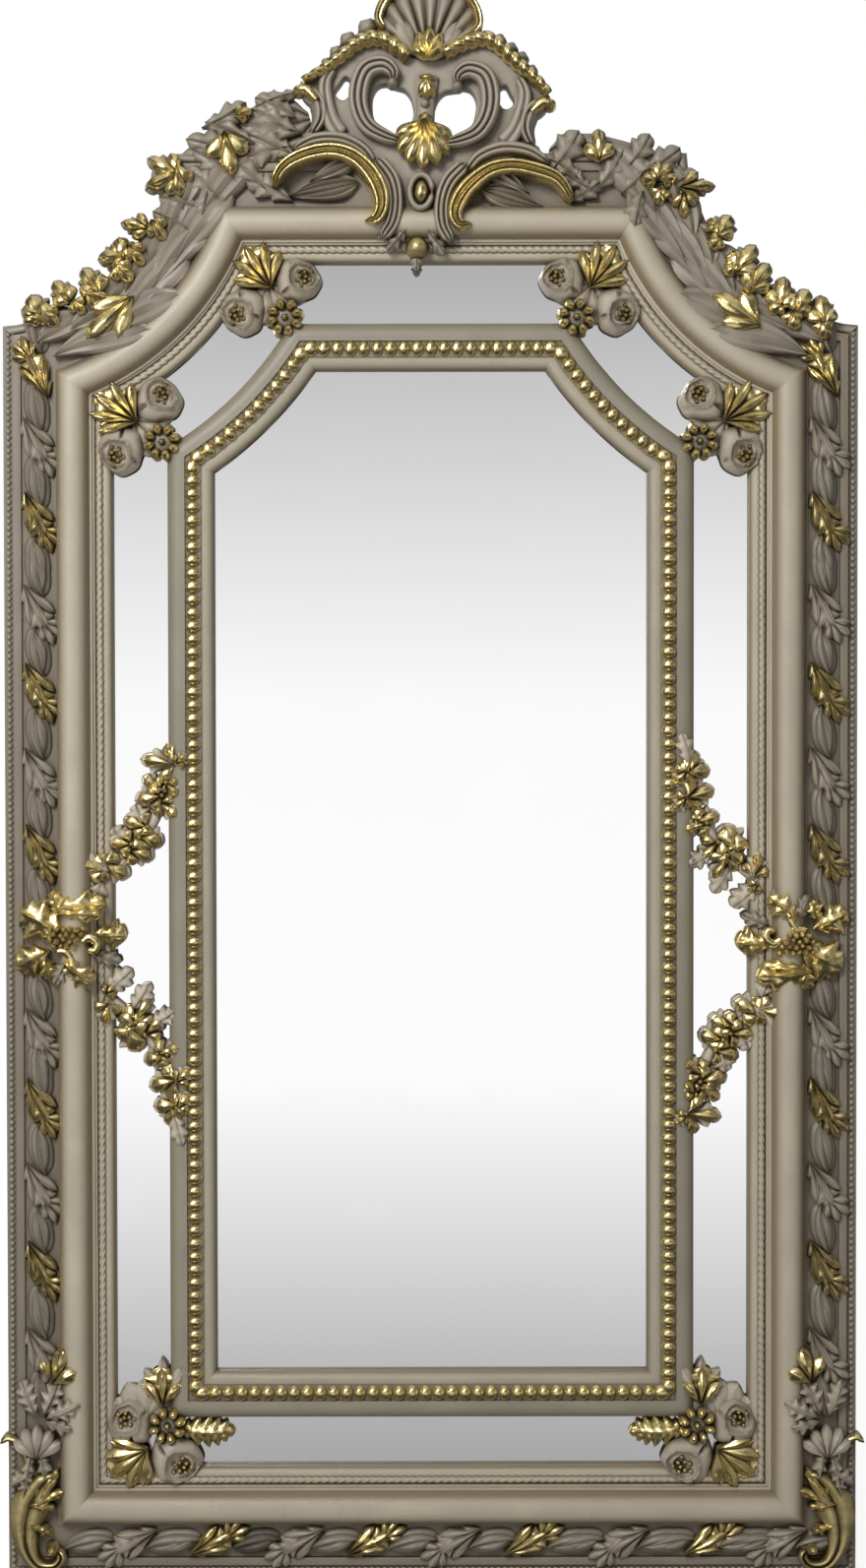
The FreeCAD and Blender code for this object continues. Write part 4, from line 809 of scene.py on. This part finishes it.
class MirrorSizes(bpy.types.PropertyGroup):
    """Sizes of the ornament."""
    pearl_pitch: number_property("Pearl pitch", "Distance between pearls", 0.0075)
    bead_pitch: number_property("Bead pitch", "Distance between gilt beads", 0.0155)
    rope_pitch: number_property("Rope pitch", "One turn of the rope moulding", 0.0095)
    leaf_rise: number_property("Leaf rise", "Relief of the cast leaves", 0.012)
    rose_rise: number_property("Rose rise", "Relief of the roses", 0.020)


class StageSettings(bpy.types.PropertyGroup):
    """Light and camera."""
    fill: number_property("Fill", "Light from all round", 0.27, "NONE")
    key: number_property("Key", "Power of the high front lamp", 72.0, "POWER")
    side: number_property("Side", "Power of the side lamps", 15.0, "POWER")
    distance: number_property("Distance", "Camera to frame", 3.40)
    eye_height: number_property("Eye height", "Height of the camera", -0.540)
    middle: number_property("Middle", "Height of the picture's middle", -0.6735)
    pitch: number_property("Pitch", "Camera turned down", 0.025, "ROTATION")
    roll: number_property("Roll", "Camera turned about its view", 0.0015, "ROTATION")
    framed: number_property("Framed height", "Height of the picture at the frame", 1.846)


class PieceOperator:
    """What the operators share."""
    bl_options = {"REGISTER", "UNDO"}


class MIRROR_OT_mouldings(PieceOperator, bpy.types.Operator):
    """Lays the finely moulded faces on the members of both frames"""
    bl_idname = "mirror.mouldings"
    bl_label = "Mouldings"

    def execute(self, context):
        frames = ((OUTER, (OUTER_FACE, OUTER_EDGE), "", ("paint", "ground")),
                  (INNER, (INNER_FACE, INNER_CHANNEL, INNER_COVE), "inner_", ("inner", "ground", "cove")))
        for outline, strips, prefix, coats in frames:
            for member in MEMBERS:
                share = np.linspace(0, 1, 33 if "shoulder" in member else 9)
                face = Carving()
                for rank, profile in enumerate(strips):
                    out, depth = np.array(profile).T
                    x, z = outline.run(member, out, share)
                    face.sheet(x, depth[None, :] + FACE_LIFT, z, rank)
                face.piece(prefix + member + "_face", None, "painted_moulding", finishes(*coats))
                dress(prefix + member, "member")
        return {"FINISHED"}


class MIRROR_OT_glass_and_back(PieceOperator, bpy.types.Operator):
    """Finishes the glass, the backboard and the hidden fastenings"""
    bl_idname = "mirror.glass_and_back"
    bl_label = "Glass and back"

    def execute(self, context):
        coats = {
            "mirror": ("centre_mirror", "left_mirror_strip", "right_mirror_strip", "top_mirror_strip",
                       "bottom_mirror_strip", "left_shoulder_mirror", "right_shoulder_mirror"),
            "plywood": ("backboard",),
            "hardwood": ("corner_keys", "crest_dowels"),
            "zinc": ("backboard_screws", "hanger_screws", "left_hanger_strap", "right_hanger_strap",
                     "left_hanger_ring", "right_hanger_ring"),
        }
        for finish, nodes in coats.items():
            for node in nodes:
                dress(node, finish)
        return {"FINISHED"}


class MIRROR_OT_edgings(PieceOperator, bpy.types.Operator):
    """Lays the rope twist round the sight edge and the pearls round the outer edge"""
    bl_idname = "mirror.edgings"
    bl_label = "Rope and pearls"

    def execute(self, context):
        sizes = context.scene.mirror_sizes
        rope, pearls = Carving(), Carving()
        turn = np.linspace(0, np.pi, 9)[None, :]
        for member in MEMBERS:
            long = OUTER.length(member, ROPE_LINE)
            share = np.linspace(0, 1, int(long / 1.6))
            beat = np.abs(np.sin(np.pi * share[:, None] * long / (sizes.rope_pitch / MM) + 1.3 * turn)) ** 0.8
            r = ROPE_RADIUS * (0.72 + 0.28 * beat)
            x, z = OUTER.run(member, ROPE_LINE - r * np.cos(turn), share)
            rope.sheet(x, ROPE_SEAT + r * np.sin(turn), z, False)
            if member == "top_rail" or "shoulder" in member:
                x, z = OUTER.run(member, PEARL_LINE + PLAIN_EDGE_RADIUS * np.cos(turn), np.linspace(0, 1, 33))
                pearls.sheet(x, PEARL_SEAT + PLAIN_EDGE_RADIUS * np.sin(turn) + 0 * x, z, False)
                continue
            count = round(OUTER.length(member, PEARL_LINE) / (sizes.pearl_pitch / MM))
            for x, z, _ in OUTER.stations(member, PEARL_LINE, evenly(count)):
                pearls.dome(x, z, PEARL_RADIUS, PEARL_SEAT, PEARL_RADIUS, False, sides=8, rings=3)
        rope.piece("rope_twist", "rope_mouldings", "painted_moulding", finishes("paint"))
        pearls.piece("pearls", "pearl_edgings", "painted_moulding", finishes("dim"))
        return {"FINISHED"}


class MIRROR_OT_beads(PieceOperator, bpy.types.Operator):
    """Strings the gilt beads on the inner frame, a long one at every mitre"""
    bl_idname = "mirror.beads"
    bl_label = "Gilt beads"

    def execute(self, context):
        pitch = context.scene.mirror_sizes.bead_pitch / MM
        strings = {"inner_side_beads": ("left_stile", "right_stile"), "inner_rail_beads": ("top_rail", "bottom_rail"),
                   "inner_shoulder_beads": ("left_shoulder_rail", "right_shoulder_rail")}
        for node, members in strings.items():
            string = Carving()
            for member in members:
                count = round(INNER.length(member, BEAD_LINE) / pitch)
                for k, (x, z, angle) in enumerate(INNER.stations(member, BEAD_LINE, evenly(count))):
                    half = BEAD_HALF + 0.3 * math.sin(2.4 * k)
                    stretch = MITRE_BEAD_STRETCH if k in (0, count - 1) else BEAD_STRETCH
                    string.dome(x, z, half, BEAD_SEAT, BEAD_RISE, True, stretch, angle, 16, 6, full=0.62)
            string.piece(node.replace("inner", "gilt"), node, "gilt_casting", finishes("carved", "bright_gold"))
        return {"FINISHED"}


class MIRROR_OT_leaf_bands(PieceOperator, bpy.types.Operator):
    """Carves the bands of gilt leaves, painted leaves and pods"""
    bl_idname = "mirror.leaf_bands"
    bl_label = "Leaf bands"

    def carve(self, band, x, z, along, gilt):
        """One leaf of a band and the pods on either side of it; along is the band's direction."""
        lean = along + (204 if along else 24) if gilt else along + 206
        lean -= 180 if z > -200 else 0
        turn = math.radians(lean)
        stem, heel = toward(x, z, -36, turn), toward(x, z, 12, turn)
        coat = 1 if gilt else 2
        band.leaf((*stem, lean, 76, 32), coat, 13, level=BAND_GROUND, lobes=5, curl=16)
        band.fan((*stem, lean + 3, 34, 3, 64, 12), coat, 17, level=BAND_GROUND)
        band.fan((*heel, lean + 16, 84, 4, 32, 11), coat, 15, level=BAND_GROUND)
        line, pod = math.radians(along), math.radians(along + POD_LEAN)
        for way in (-1, 1):
            spot = toward(x, z, way * POD_AWAY, line)
            band.dome(*spot, 15, BAND_GROUND - 1, 9, 0, 2.0, along + POD_LEAN, 24, 6, full=0.8)
            for reach, ridge_lean, curl in ((30, 20, -44), (24, 4, 40)):
                tail = toward(*spot, -reach, pod)
                band.leaf((*tail, along + ridge_lean, 2 * reach, 12), 0, 12, level=BAND_GROUND + 2, lobes=0, curl=curl)

    def execute(self, context):
        stile, rail = OUTER.half + BAND_LINE, OUTER.bottom - BAND_LINE
        up = [(z, True) for z in BAND_GILT] + [(z, False) for z in BAND_PAINTED]
        along = [(x, True) for x in BAND_ALONG_GILT] + [(x, False) for x in BAND_ALONG_PAINTED]
        bands = {"left": [(-stile, z, 90, gilt) for z, gilt in up], "right": [(stile, z, 90, gilt) for z, gilt in up],
                 "bottom": [(x, rail, 0, gilt) for x, gilt in along]}
        for side, leaves in bands.items():
            band = Carving()
            for leaf in leaves:
                self.carve(band, *leaf)
            name = side + "_leaf_band"
            band.piece(name + "_carving", name, "painted_casting", finishes("band", "gold", "carved"))
        return {"FINISHED"}


class MIRROR_OT_side_ornaments(PieceOperator, bpy.types.Operator):
    """Casts the side cartouches with their grapes and the garlands that climb from them"""
    bl_idname = "mirror.side_ornaments"
    bl_label = "Cartouches and garlands"

    def cartouche(self, stand):
        piece = Carving(stand)
        for row in CARTOUCHE_PAINTED:
            piece.leaf(row, False, 14, CARTOUCHE, base=34)
        for *row, base in CARTOUCHE_LEAVES:
            piece.leaf(row, True, 15, CARTOUCHE, base=base, lobes=3, fuller=1.15)
        x, z = CARTOUCHE
        for curl in CARTOUCHE_CURLS:
            piece.ribbon(moved(curl, CARTOUCHE), (7, 9, 8, 6), CURL_SEAT, CURL_FACE, True, 1, 0.0)
        left, right, top, foot, grape, seat = GRAPES
        for j, level in enumerate(np.arange(top, foot, -1.55 * grape)):
            for k, across in enumerate(np.arange(left + grape * (j % 2), right - 5.0 * j, 1.85 * grape)):
                lift = 5 * math.sin(2.1 * k + 3 * j)
                piece.dome(x + across, z + level + 1.2 * math.sin(3 * k + j), grape, seat, 15 + lift, True, sides=10)
        return piece

    def garland(self, stand, gilt_rows, painted_rows, stem):
        piece = Carving(stand)
        rise = bpy.context.scene.mirror_sizes.leaf_rise / MM
        piece.ribbon(moved(stem, CARTOUCHE), (9, 13, 13, 9), GLASS_FACE, 38, False, 1)
        for x, z, angle, length, width in painted_rows:
            piece.leaf((x, z, angle, length * 1.35, width * 1.7), False, rise, CARTOUCHE, base=31)
        for row in gilt_rows:
            piece.cluster(row, rise, CARTOUCHE, 34)
        return piece

    def execute(self, context):
        for side, stand in (("left", "left"), ("right", "turned")):
            self.cartouche(stand).piece(side + "_grape_cartouche", side + "_side_cartouche", "gilt_casting",
                                        finishes("carved", "bright_gold"))
            for level, rows in (("upper", (UPPER_GARLAND, UPPER_GARLAND_PAINTED, UPPER_STEM)),
                                ("lower", (LOWER_GARLAND, LOWER_GARLAND_PAINTED, LOWER_STEM))):
                name = side + "_" + level
                self.garland(stand, *rows).piece(name + "_leaf_garland", name + "_garland", "gilt_casting",
                                                 finishes("pale", "gold"))
        return {"FINISHED"}


class MIRROR_OT_florets(PieceOperator, bpy.types.Operator):
    """Casts the corner florets: palmette, two roses and a gilt flower"""
    bl_idname = "mirror.florets"
    bl_label = "Corner florets"

    def execute(self, context):
        sizes = context.scene.mirror_sizes
        for place, drawing in (("lower", LOWER_FLORET), ("upper", UPPER_FLORET), ("bottom", BOTTOM_FLORET)):
            anchor, gilt_fans, gilt_rows, painted_fans, roses, flower = drawing
            rise = sizes.leaf_rise / MM
            for side in ("left", "right"):
                piece = Carving(side)
                for row in gilt_fans:
                    x, z, angle, _, _, length, width = row
                    piece.leaf((x, z, angle, length, width * 4), True, rise * 0.8, anchor, base=36, lobes=4)
                    piece.fan(row, True, rise * 1.2, anchor, base=40)
                for row in gilt_rows:
                    piece.leaf(row, True, rise, anchor, base=30)
                for row in painted_fans:
                    piece.fan(row, False, rise, anchor, base=30, taper=0.1)
                for dx, dz, radius in roses:
                    x, z = anchor[0] + dx, anchor[1] + dz
                    piece.rose(x, z, radius, max(36.0, float(bed(x, z)) + 4), sizes.rose_rise / MM, math.atan2(dz, dx))
                piece.flower(anchor[0] + flower[0], anchor[1] + flower[1], flower[2], 44, 14)
                name = side + "_" + place
                piece.piece(name + "_rose_floret", name + "_floret", "painted_casting", finishes("petal", "gold"))
        return {"FINISHED"}


class MIRROR_OT_sprays(PieceOperator, bpy.types.Operator):
    """Casts the foot sprays and the sprays along the shoulders"""
    bl_idname = "mirror.sprays"
    bl_label = "Foot and shoulder sprays"

    def acanthus(self, spray, side):
        """Long fluted leaves that climb the shoulder, and the mass that joins them to the crest."""
        way = -1 if side == "left" else 1
        for out, count, length, width, lean in ACANTHUS_ROWS:
            share = 0.05 + 0.93 * np.arange(count) / count
            for k, (x, z, angle) in enumerate(OUTER.stations(side + "_shoulder_rail", out, share)):
                angle -= way * (lean + 9 * math.sin(5 * k + out))
                reach = length * (1 + 0.12 * math.sin(3 * k))
                spray.leaf((x, z, angle, reach, width), False, 15, base=42, lobes=0, curl=way * 30, fuller=1.15,
                           flutes=3)
        spray.ribbon(SPRAYS[side][0], (24, 60, 74, 70, 50), FREE_DEPTH, 44, False, 4, 0.3)

    def execute(self, context):
        for side in ("left", "right"):
            foot = Carving(side)
            for row in FOOT_PAINTED:
                foot.leaf(row, False, 18, FOOT, base=46)
            for row in FOOT_LEAVES:
                foot.leaf(row, True, 16, FOOT, base=50)
            for row in FOOT_FANS:
                foot.fan(row, True, 18, FOOT, base=46)
            for row in FOOT_SHELLS:
                foot.fan(row, False, 17, FOOT, base=52, taper=0.12)
            foot.ribbon(moved(FOOT_STEM, FOOT), (8, 11, 11, 9, 6), 30, 56, True, 1, 0.1)
            scroll = moved(FOOT_SCROLL, FOOT)
            foot.ribbon(scroll, FOOT_WIDTHS, 22, 64, 2, 2, 0.12)
            foot.dome(*scroll[-1], 10, 30, 40, True, sides=20)
            foot.piece(side + "_foot_acanthus", side + "_foot_spray", "gilt_casting",
                       finishes("petal", "gold", "old_gold"))
            spray = Carving()
            self.acanthus(spray, side)
            _, gilt, painted = SPRAYS[side]
            for row in painted:
                spray.leaf(row, False, 17, base=42, lobes=3, curl=18, fuller=1.15)
            for row in gilt:
                x, z, angle, length, width = row
                spray.leaf((x, z, angle, length * 1.1, width * 1.5), False, 12, base=46, lobes=3)
                opening = 50 if length > 60 else 72
                spray.fan((x, z, angle, opening, 3, length, width * 0.82), True, 14, base=58, taper=0.3)
            spray.piece(side + "_shoulder_acanthus", side + "_shoulder_spray", "gilt_casting", finishes("dim", "gold"))
        return {"FINISHED"}


class MIRROR_OT_crest(PieceOperator, bpy.types.Operator):
    """Carves the pierced crest with its loops, straps, shell, drop, cabochon, gadroons and scrolls"""
    bl_idname = "mirror.crest"
    bl_label = "Crest"

    def board(self):
        """The pierced board, as a filled outline with eased edges, turned to stand on the rail."""
        drawing = bpy.data.curves.new("crest_board", "CURVE")
        drawing.dimensions, drawing.fill_mode = "2D", "BOTH"
        mirrored = flipped(reversed(CREST_OUTLINE[1:-1]), -1)
        holes = [CREST_EYE, CREST_SLOT, flipped(CREST_EYE, -1), flipped(CREST_SLOT, -1)]
        tilt = Carving("crest")
        for ring in [list(CREST_OUTLINE) + mirrored] + holes:
            spline = drawing.splines.new("BEZIER")
            spline.bezier_points.add(len(ring) - 1)
            for point, (x, z) in zip(spline.bezier_points, ring):
                px, pz = tilt.place(x, z)
                point.co = (px * MM, pz * MM, 0)
                point.handle_left_type = point.handle_right_type = "AUTO"
            spline.use_cyclic_u = True
        drawing.resolution_u = 4
        drawing.extrude = (CREST_FACE - CREST_BACK - BOARD_SUNK) / 2 * MM
        drawing.bevel_depth, drawing.bevel_resolution = BOARD_BEVEL * MM, 2
        drawing.offset = -BOARD_BEVEL * MM
        maker = bpy.data.objects.new("crest_board_maker", drawing)
        mesh = bpy.data.meshes.new_from_object(maker)
        bpy.data.objects.remove(maker)
        middle = (CREST_FACE + CREST_BACK - BOARD_SUNK) / 2 * MM
        spots = np.empty(len(mesh.vertices) * 3)
        mesh.vertices.foreach_get("co", spots)
        x, z, up = spots.reshape(-1, 3).T
        mesh.vertices.foreach_set("co", np.stack([x, -middle - up, z], axis=1).ravel())
        mesh.materials.clear()
        mesh.materials.append(finishes("board")[0])
        settle(mesh, "crest_board", "crest_cartouche", "frame")

    def straps(self):
        """Loops round the eyes, straps, ears and leaves of the board's face."""
        piece = Carving("crest")
        back = CREST_FACE - 26
        for way in (-1, 1):
            loop, strap, ear, arch, waist = (
                flipped(line, way) for line in (CREST_LOOP, CREST_STRAP, CREST_EAR, CREST_ARCH, CREST_WAIST))
            piece.ribbon(loop, (12, 20, 23, 23, 22, 20, 16, 9), back, CREST_FACE + 4, False, 3, 0.18, side=way)
            piece.dome(*loop[0], 7, back, 28, False, sides=20)
            piece.ribbon(strap, (10, 16, 18, 20, 24), back, CREST_FACE - 6, False, 2, 0.16)
            piece.ribbon(ear, (12, 19, 21, 18, 12), back - 10, CREST_FACE - 4, False, 2, 0.2, 0.25, side=way)
            piece.ribbon(ear[:3], (10, 13, 6), back, CREST_FACE, True, 1, 0.1, side=way)
            piece.dome(*ear[0], 8, back, 24, True)
            piece.ribbon(arch, (10, 15, 16, 15, 12), back - 6, CREST_FACE - 4, False, 2, 0.16)
            piece.ribbon(waist, (18, 20, 18, 18, 14), back, CREST_FACE + 2, False, 3, 0.18)
            for x, z, lean, length, width, flutes, sunk in CREST_SIDE_LEAVES:
                piece.leaf((way * x, z, 90 + way * lean, length, width), False, 16, lobes=0, fuller=1.2, flutes=flutes,
                           level=CREST_FACE - sunk)
            piece.leaf((way * 12, -92, -90 + way * 40, 34, 17), False, 16, level=CREST_FACE - 20)
            piece.leaf((way * 22, -88, -90 + way * 62, 30, 15), False, 14, level=CREST_FACE - 22)
            piece.leaf((way * 4, -80, 90 - way * 58, 22, 14), False, 10, level=CREST_FACE - 22)
        for x, z, radius in CREST_LUMPS:
            piece.dome(x, z, radius, CREST_BACK + 10, 26, False, sides=18, flutes=5, bite=0.16)
        piece.piece("crest_strapwork", None, "painted_casting", finishes("carved", "gold"))

    def shell(self):
        """The fluted fan with its gilt side curls and bud."""
        piece = Carving("crest")
        fan = np.radians(np.linspace(*SHELL_SPAN, 97))[:, None]
        reach = np.linspace(0.12, 1.0, 14)[None, :]
        long = 86 + 10 * np.sin(fan) - 26 * np.abs(np.cos(fan)) ** 2
        turned = (fan - math.radians(SHELL_SPAN[0])) * 180 / (SHELL_SPAN[1] - SHELL_SPAN[0])
        flute = 0.35 + 0.65 * np.abs(np.sin(SHELL_FLUTES * turned)) ** 0.6
        r = long * reach * (1 - 0.05 * (1 - flute) * reach)
        depth = CREST_FACE - 26 + 20 * np.sin(np.pi * reach ** 0.8) ** 0.8 * (0.45 + 0.55 * flute) + 10 * reach * flute
        x, z = SHELL_BASE[0] + r * np.cos(fan), SHELL_BASE[1] + r * np.sin(fan)
        rim = np.concatenate([depth, np.full_like(depth[:, :2], CREST_BACK + 8)], axis=1)
        x, z = (np.concatenate([line, line[:, -1:], line[:, :1]], axis=1) for line in (x, z))
        piece.sheet(x, rim, z, False)
        for way in (-1, 1):
            piece.leaf((way * 14, 112, 90 - way * 32, 44, 26), False, 14, lobes=0, level=CREST_FACE - 14, curl=way * 20)
            curl = flipped(SHELL_CURL, way)
            piece.ribbon(curl, (6, 12, 14, 13, 8), CREST_BACK + 16, CREST_FACE - 2, True, 2, 0.2, 0.2, side=-way)
        for lean, size in ((90, 38), (66, 34), (114, 34), (44, 26), (136, 26)):
            piece.leaf((*SHELL_BASE, lean, size, 16), True, 16, lobes=0, level=CREST_FACE - 6)
        piece.piece("crest_shell_fan", "crest_shell", "painted_casting", finishes("carved", "bright_gold"))

    def drop(self):
        """Cap, bud, bead and palmette between the eyes, and the pendant below."""
        piece = Carving("crest")
        piece.ribbon(((2, 90), (2, 60), (2, 30)), (26, 22, 22), CREST_BACK + 12, CREST_FACE - 8, False, 1, 0.1)
        piece.dome(2, 84, 4, CREST_FACE - 10, 10, True, stretch=2.6)
        for lean, size in ((-90, 26), (-70, 23), (-110, 23)):
            piece.leaf((2, 83, lean, size, 12), True, 12, lobes=0, level=CREST_FACE - 10)
        piece.dome(1, 54, 5.5, CREST_FACE - 10, 10, False, sides=14)
        for lean, size in ((-90, 58), (-72, 56), (-108, 56), (-54, 50), (-126, 50), (-36, 40), (-144, 40)):
            piece.leaf((*PALMETTE_BASE, lean, size, 17), True, 14, lobes=0, fuller=1.5, level=CREST_FACE - 6)
        piece.dome(*PALMETTE_BASE, 8, CREST_FACE - 8, 12, True)
        piece.piece("crest_palmette_drop", "crest_drop", "gilt_casting", finishes("carved", "bright_gold"))

    def cabochon(self):
        """Oval boss in its ring, and the ball that hangs at the foot."""
        piece = Carving("crest")
        ring = [(CABOCHON[0] + 13 * math.cos(k), CABOCHON[1] + 19 * math.sin(k)) for k in np.linspace(0, 6.283, 17)]
        piece.ribbon(ring, (7, 7), CREST_FACE - 22, CREST_FACE + 2, False, 1, 0.1)
        piece.dome(*CABOCHON, 10.5, CREST_FACE - 18, 20, True, stretch=1.65, angle=90, sides=24, rings=6)
        piece.dome(*PENDANT, 14, CREST_BACK + 30, 18, 2, sides=20, rings=6)
        piece.leaf((PENDANT[0], PENDANT[1] - 8, -90, 18, 13), False, 10, lobes=2, level=CREST_BACK + 30)
        piece.piece("crest_cabochon_and_ball", "crest_cabochon", "painted_casting",
                    finishes("carved", "gold", "old_gold"))

    def execute(self, context):
        self.board()
        self.straps()
        self.shell()
        self.drop()
        self.cabochon()
        arches = Carving("crest")
        for line, widths in ((GADROONS_LEFT, (17, 20, 20, 19, 17, 15, 13, 10)),
                             (GADROONS_RIGHT, (15, 19, 20, 20, 19, 18, 17, 15, 11))):
            arches.twist(line, widths, CREST_FACE - 14, CREST_FACE + 4, True, 13, 0.24)
        arches.piece("crest_gadroon_arches", "crest_gadroons", "gilt_casting", finishes("carved", "bright_gold"))
        for name, points, way in (("left", SCROLL_LEFT, 1.0), ("right", SCROLL_RIGHT, -1.0)):
            scroll = Carving("crest")
            scroll.ribbon(points, SCROLL_WIDTHS, CREST_FACE - 34, CREST_FACE + 12, True, 3, 0.16, 0.06, side=-way,
                          steps=64)
            scroll.dome(*points[-1], 7, CREST_FACE - 30, 26, True)
            scroll.piece("crest_" + name + "_c_scroll", "crest_" + name + "_scroll", "gilt_casting",
                         finishes("carved", "bright_gold"))
        return {"FINISHED"}


class MIRROR_OT_stage(PieceOperator, bpy.types.Operator):
    """Sets the floor, the lamps, the world and the camera"""
    bl_idname = "mirror.stage"
    bl_label = "Stage"

    def floor(self):
        """A pale floor that the mirrors and gilding don't show."""
        low, far = CAD_BOX[0][2] - FLOOR_DROP, FLOOR_HALF
        mesh = bpy.data.meshes.new("studio_floor")
        mesh.from_pydata([(-far, -far, low), (far, -far, low), (far, far, low), (-far, far, low)], [], [(0, 1, 2, 3)])
        paper = new_finish("studio_floor_paper")
        shade = paper.mix(paper.noise(paper.spot(), 3.0), (0.90, 0.90, 0.90, 1.0), (0.93, 0.93, 0.93, 1.0))
        light = paper.node("ShaderNodeLightPath")
        lift = paper.mix(light.of("Is Camera Ray"), (0.0, 0.0, 0.0, 1.0), (0.72, 0.72, 0.72, 1.0))
        skin = paper.node("ShaderNodeBsdfPrincipled", None,
                          {"Base Color": shade, "Roughness": 0.9, "Emission Color": lift, "Emission Strength": 1.0})
        clear = paper.node("ShaderNodeBsdfTransparent")
        glossy = light.of("Is Glossy Ray")
        both = paper.node("ShaderNodeMixShader", None, {0: glossy, 1: skin, 2: clear})
        paper.node("ShaderNodeOutputMaterial", None, {"Surface": both})
        mesh.materials.append(paper.owner)
        floor = stand_up("studio_floor", mesh)

    def world(self, stage):
        """White to the camera, a room that fades above and below eye level to the glass and gilding, a plain fill."""
        sky = bpy.data.worlds.new("studio")
        bpy.context.scene.world = sky
        room = Finish(sky)
        way = room.node("ShaderNodeTexCoord").of("Generated")
        height = room.node("ShaderNodeSeparateXYZ", None, {"Vector": way}).of("Z")
        stops = [((z + 1) / 2, (v, v, v, 1.0)) for z, v in ROOM_LEVELS]
        ramp = room.node("ShaderNodeValToRGB", {"stops": stops}, {"Fac": height * 0.5 + 0.5})
        light = room.node("ShaderNodeLightPath")
        aside = room.node("ShaderNodeSeparateXYZ", None, {"Vector": way}).of("X").math("ABSOLUTE")
        dim = room.mix(((aside - 0.2) * 2.0).held() * 0.7, ramp, (0.02, 0.02, 0.02, 1.0))
        seen = room.mix(light.of("Is Glossy Ray"), (stage.fill,) * 3 + (1.0,), dim)
        seen = room.mix(light.of("Is Camera Ray"), seen, (1.0, 1.0, 1.0, 1.0))
        shell = room.node("ShaderNodeBackground", None, {"Color": seen, "Strength": 1.0})
        room.node("ShaderNodeOutputWorld", None, {"Surface": shell})

    def lamp(self, name, place, aim, size, power):
        data = bpy.data.lights.new(name, "AREA")
        data.shape, data.size, data.size_y, data.energy = "RECTANGLE", size[0], size[1], power
        lamp = stand_up(name, data)
        lamp.location = place
        lamp.rotation_euler = (Vector(aim) - Vector(place)).to_track_quat("-Z", "Y").to_euler()

    def execute(self, context):
        stage = context.scene.mirror_stage
        self.floor()
        self.world(stage)
        self.lamp("high_front", (-1.0, -2.7, 1.05), (-0.1, 0, -0.5), (1.0, 0.8), stage.key)
        self.lamp("left_front", (-1.7, -2.3, -0.2), (0, 0, -0.7), (0.7, 1.6), stage.side)
        self.lamp("right_side", (3.0, -1.6, 0.2), (0, 0, -0.7), (0.8, 1.8), stage.side * 0.1)
        eye = bpy.data.cameras.new("photo_camera")
        eye.sensor_width = SENSOR
        eye.lens = SENSOR * stage.distance / stage.framed
        drop = math.atan((stage.middle - stage.eye_height) / stage.distance)
        eye.shift_y = math.tan(drop + stage.pitch) * stage.distance / stage.framed
        camera = stand_up("photo_camera", eye)
        camera.location = (CAMERA_X, CAMERA_PLANE - stage.distance, stage.eye_height)
        camera.rotation_euler = (math.pi / 2 - stage.pitch, stage.roll, 0)
        context.scene.camera = camera
        context.scene.view_settings.view_transform = "Standard"
        return {"FINISHED"}


PIECES = (MIRROR_OT_mouldings, MIRROR_OT_glass_and_back, MIRROR_OT_edgings, MIRROR_OT_beads, MIRROR_OT_leaf_bands,
          MIRROR_OT_side_ornaments, MIRROR_OT_florets, MIRROR_OT_sprays, MIRROR_OT_crest, MIRROR_OT_stage)


class MIRROR_PT_panel(bpy.types.Panel):
    """Lists the pieces of the mirror"""
    bl_idname = "MIRROR_PT_panel"
    bl_label = "Baroque mirror"
    bl_space_type = "VIEW_3D"
    bl_region_type = "UI"
    bl_category = "Mirror"

    def draw(self, context):
        for piece in PIECES:
            self.layout.operator(piece.bl_idname)
        for group in (context.scene.mirror_colours, context.scene.mirror_sizes, context.scene.mirror_stage):
            for name in group.__annotations__:
                self.layout.prop(group, name)


CLASSES = (MirrorColours, MirrorSizes, StageSettings) + PIECES + (MIRROR_PT_panel,)


def register():
    for each in CLASSES:
        bpy.utils.register_class(each)
    bpy.types.Scene.mirror_colours = PointerProperty(type=MirrorColours)
    bpy.types.Scene.mirror_sizes = PointerProperty(type=MirrorSizes)
    bpy.types.Scene.mirror_stage = PointerProperty(type=StageSettings)


def unregister():
    del bpy.types.Scene.mirror_stage
    del bpy.types.Scene.mirror_sizes
    del bpy.types.Scene.mirror_colours
    for each in reversed(CLASSES):
        bpy.utils.unregister_class(each)


def main():
    register()
    for piece in PIECES:
        family, name = piece.bl_idname.split(".")
        getattr(getattr(bpy.ops, family), name)()


if __name__ == "__main__":
    main()
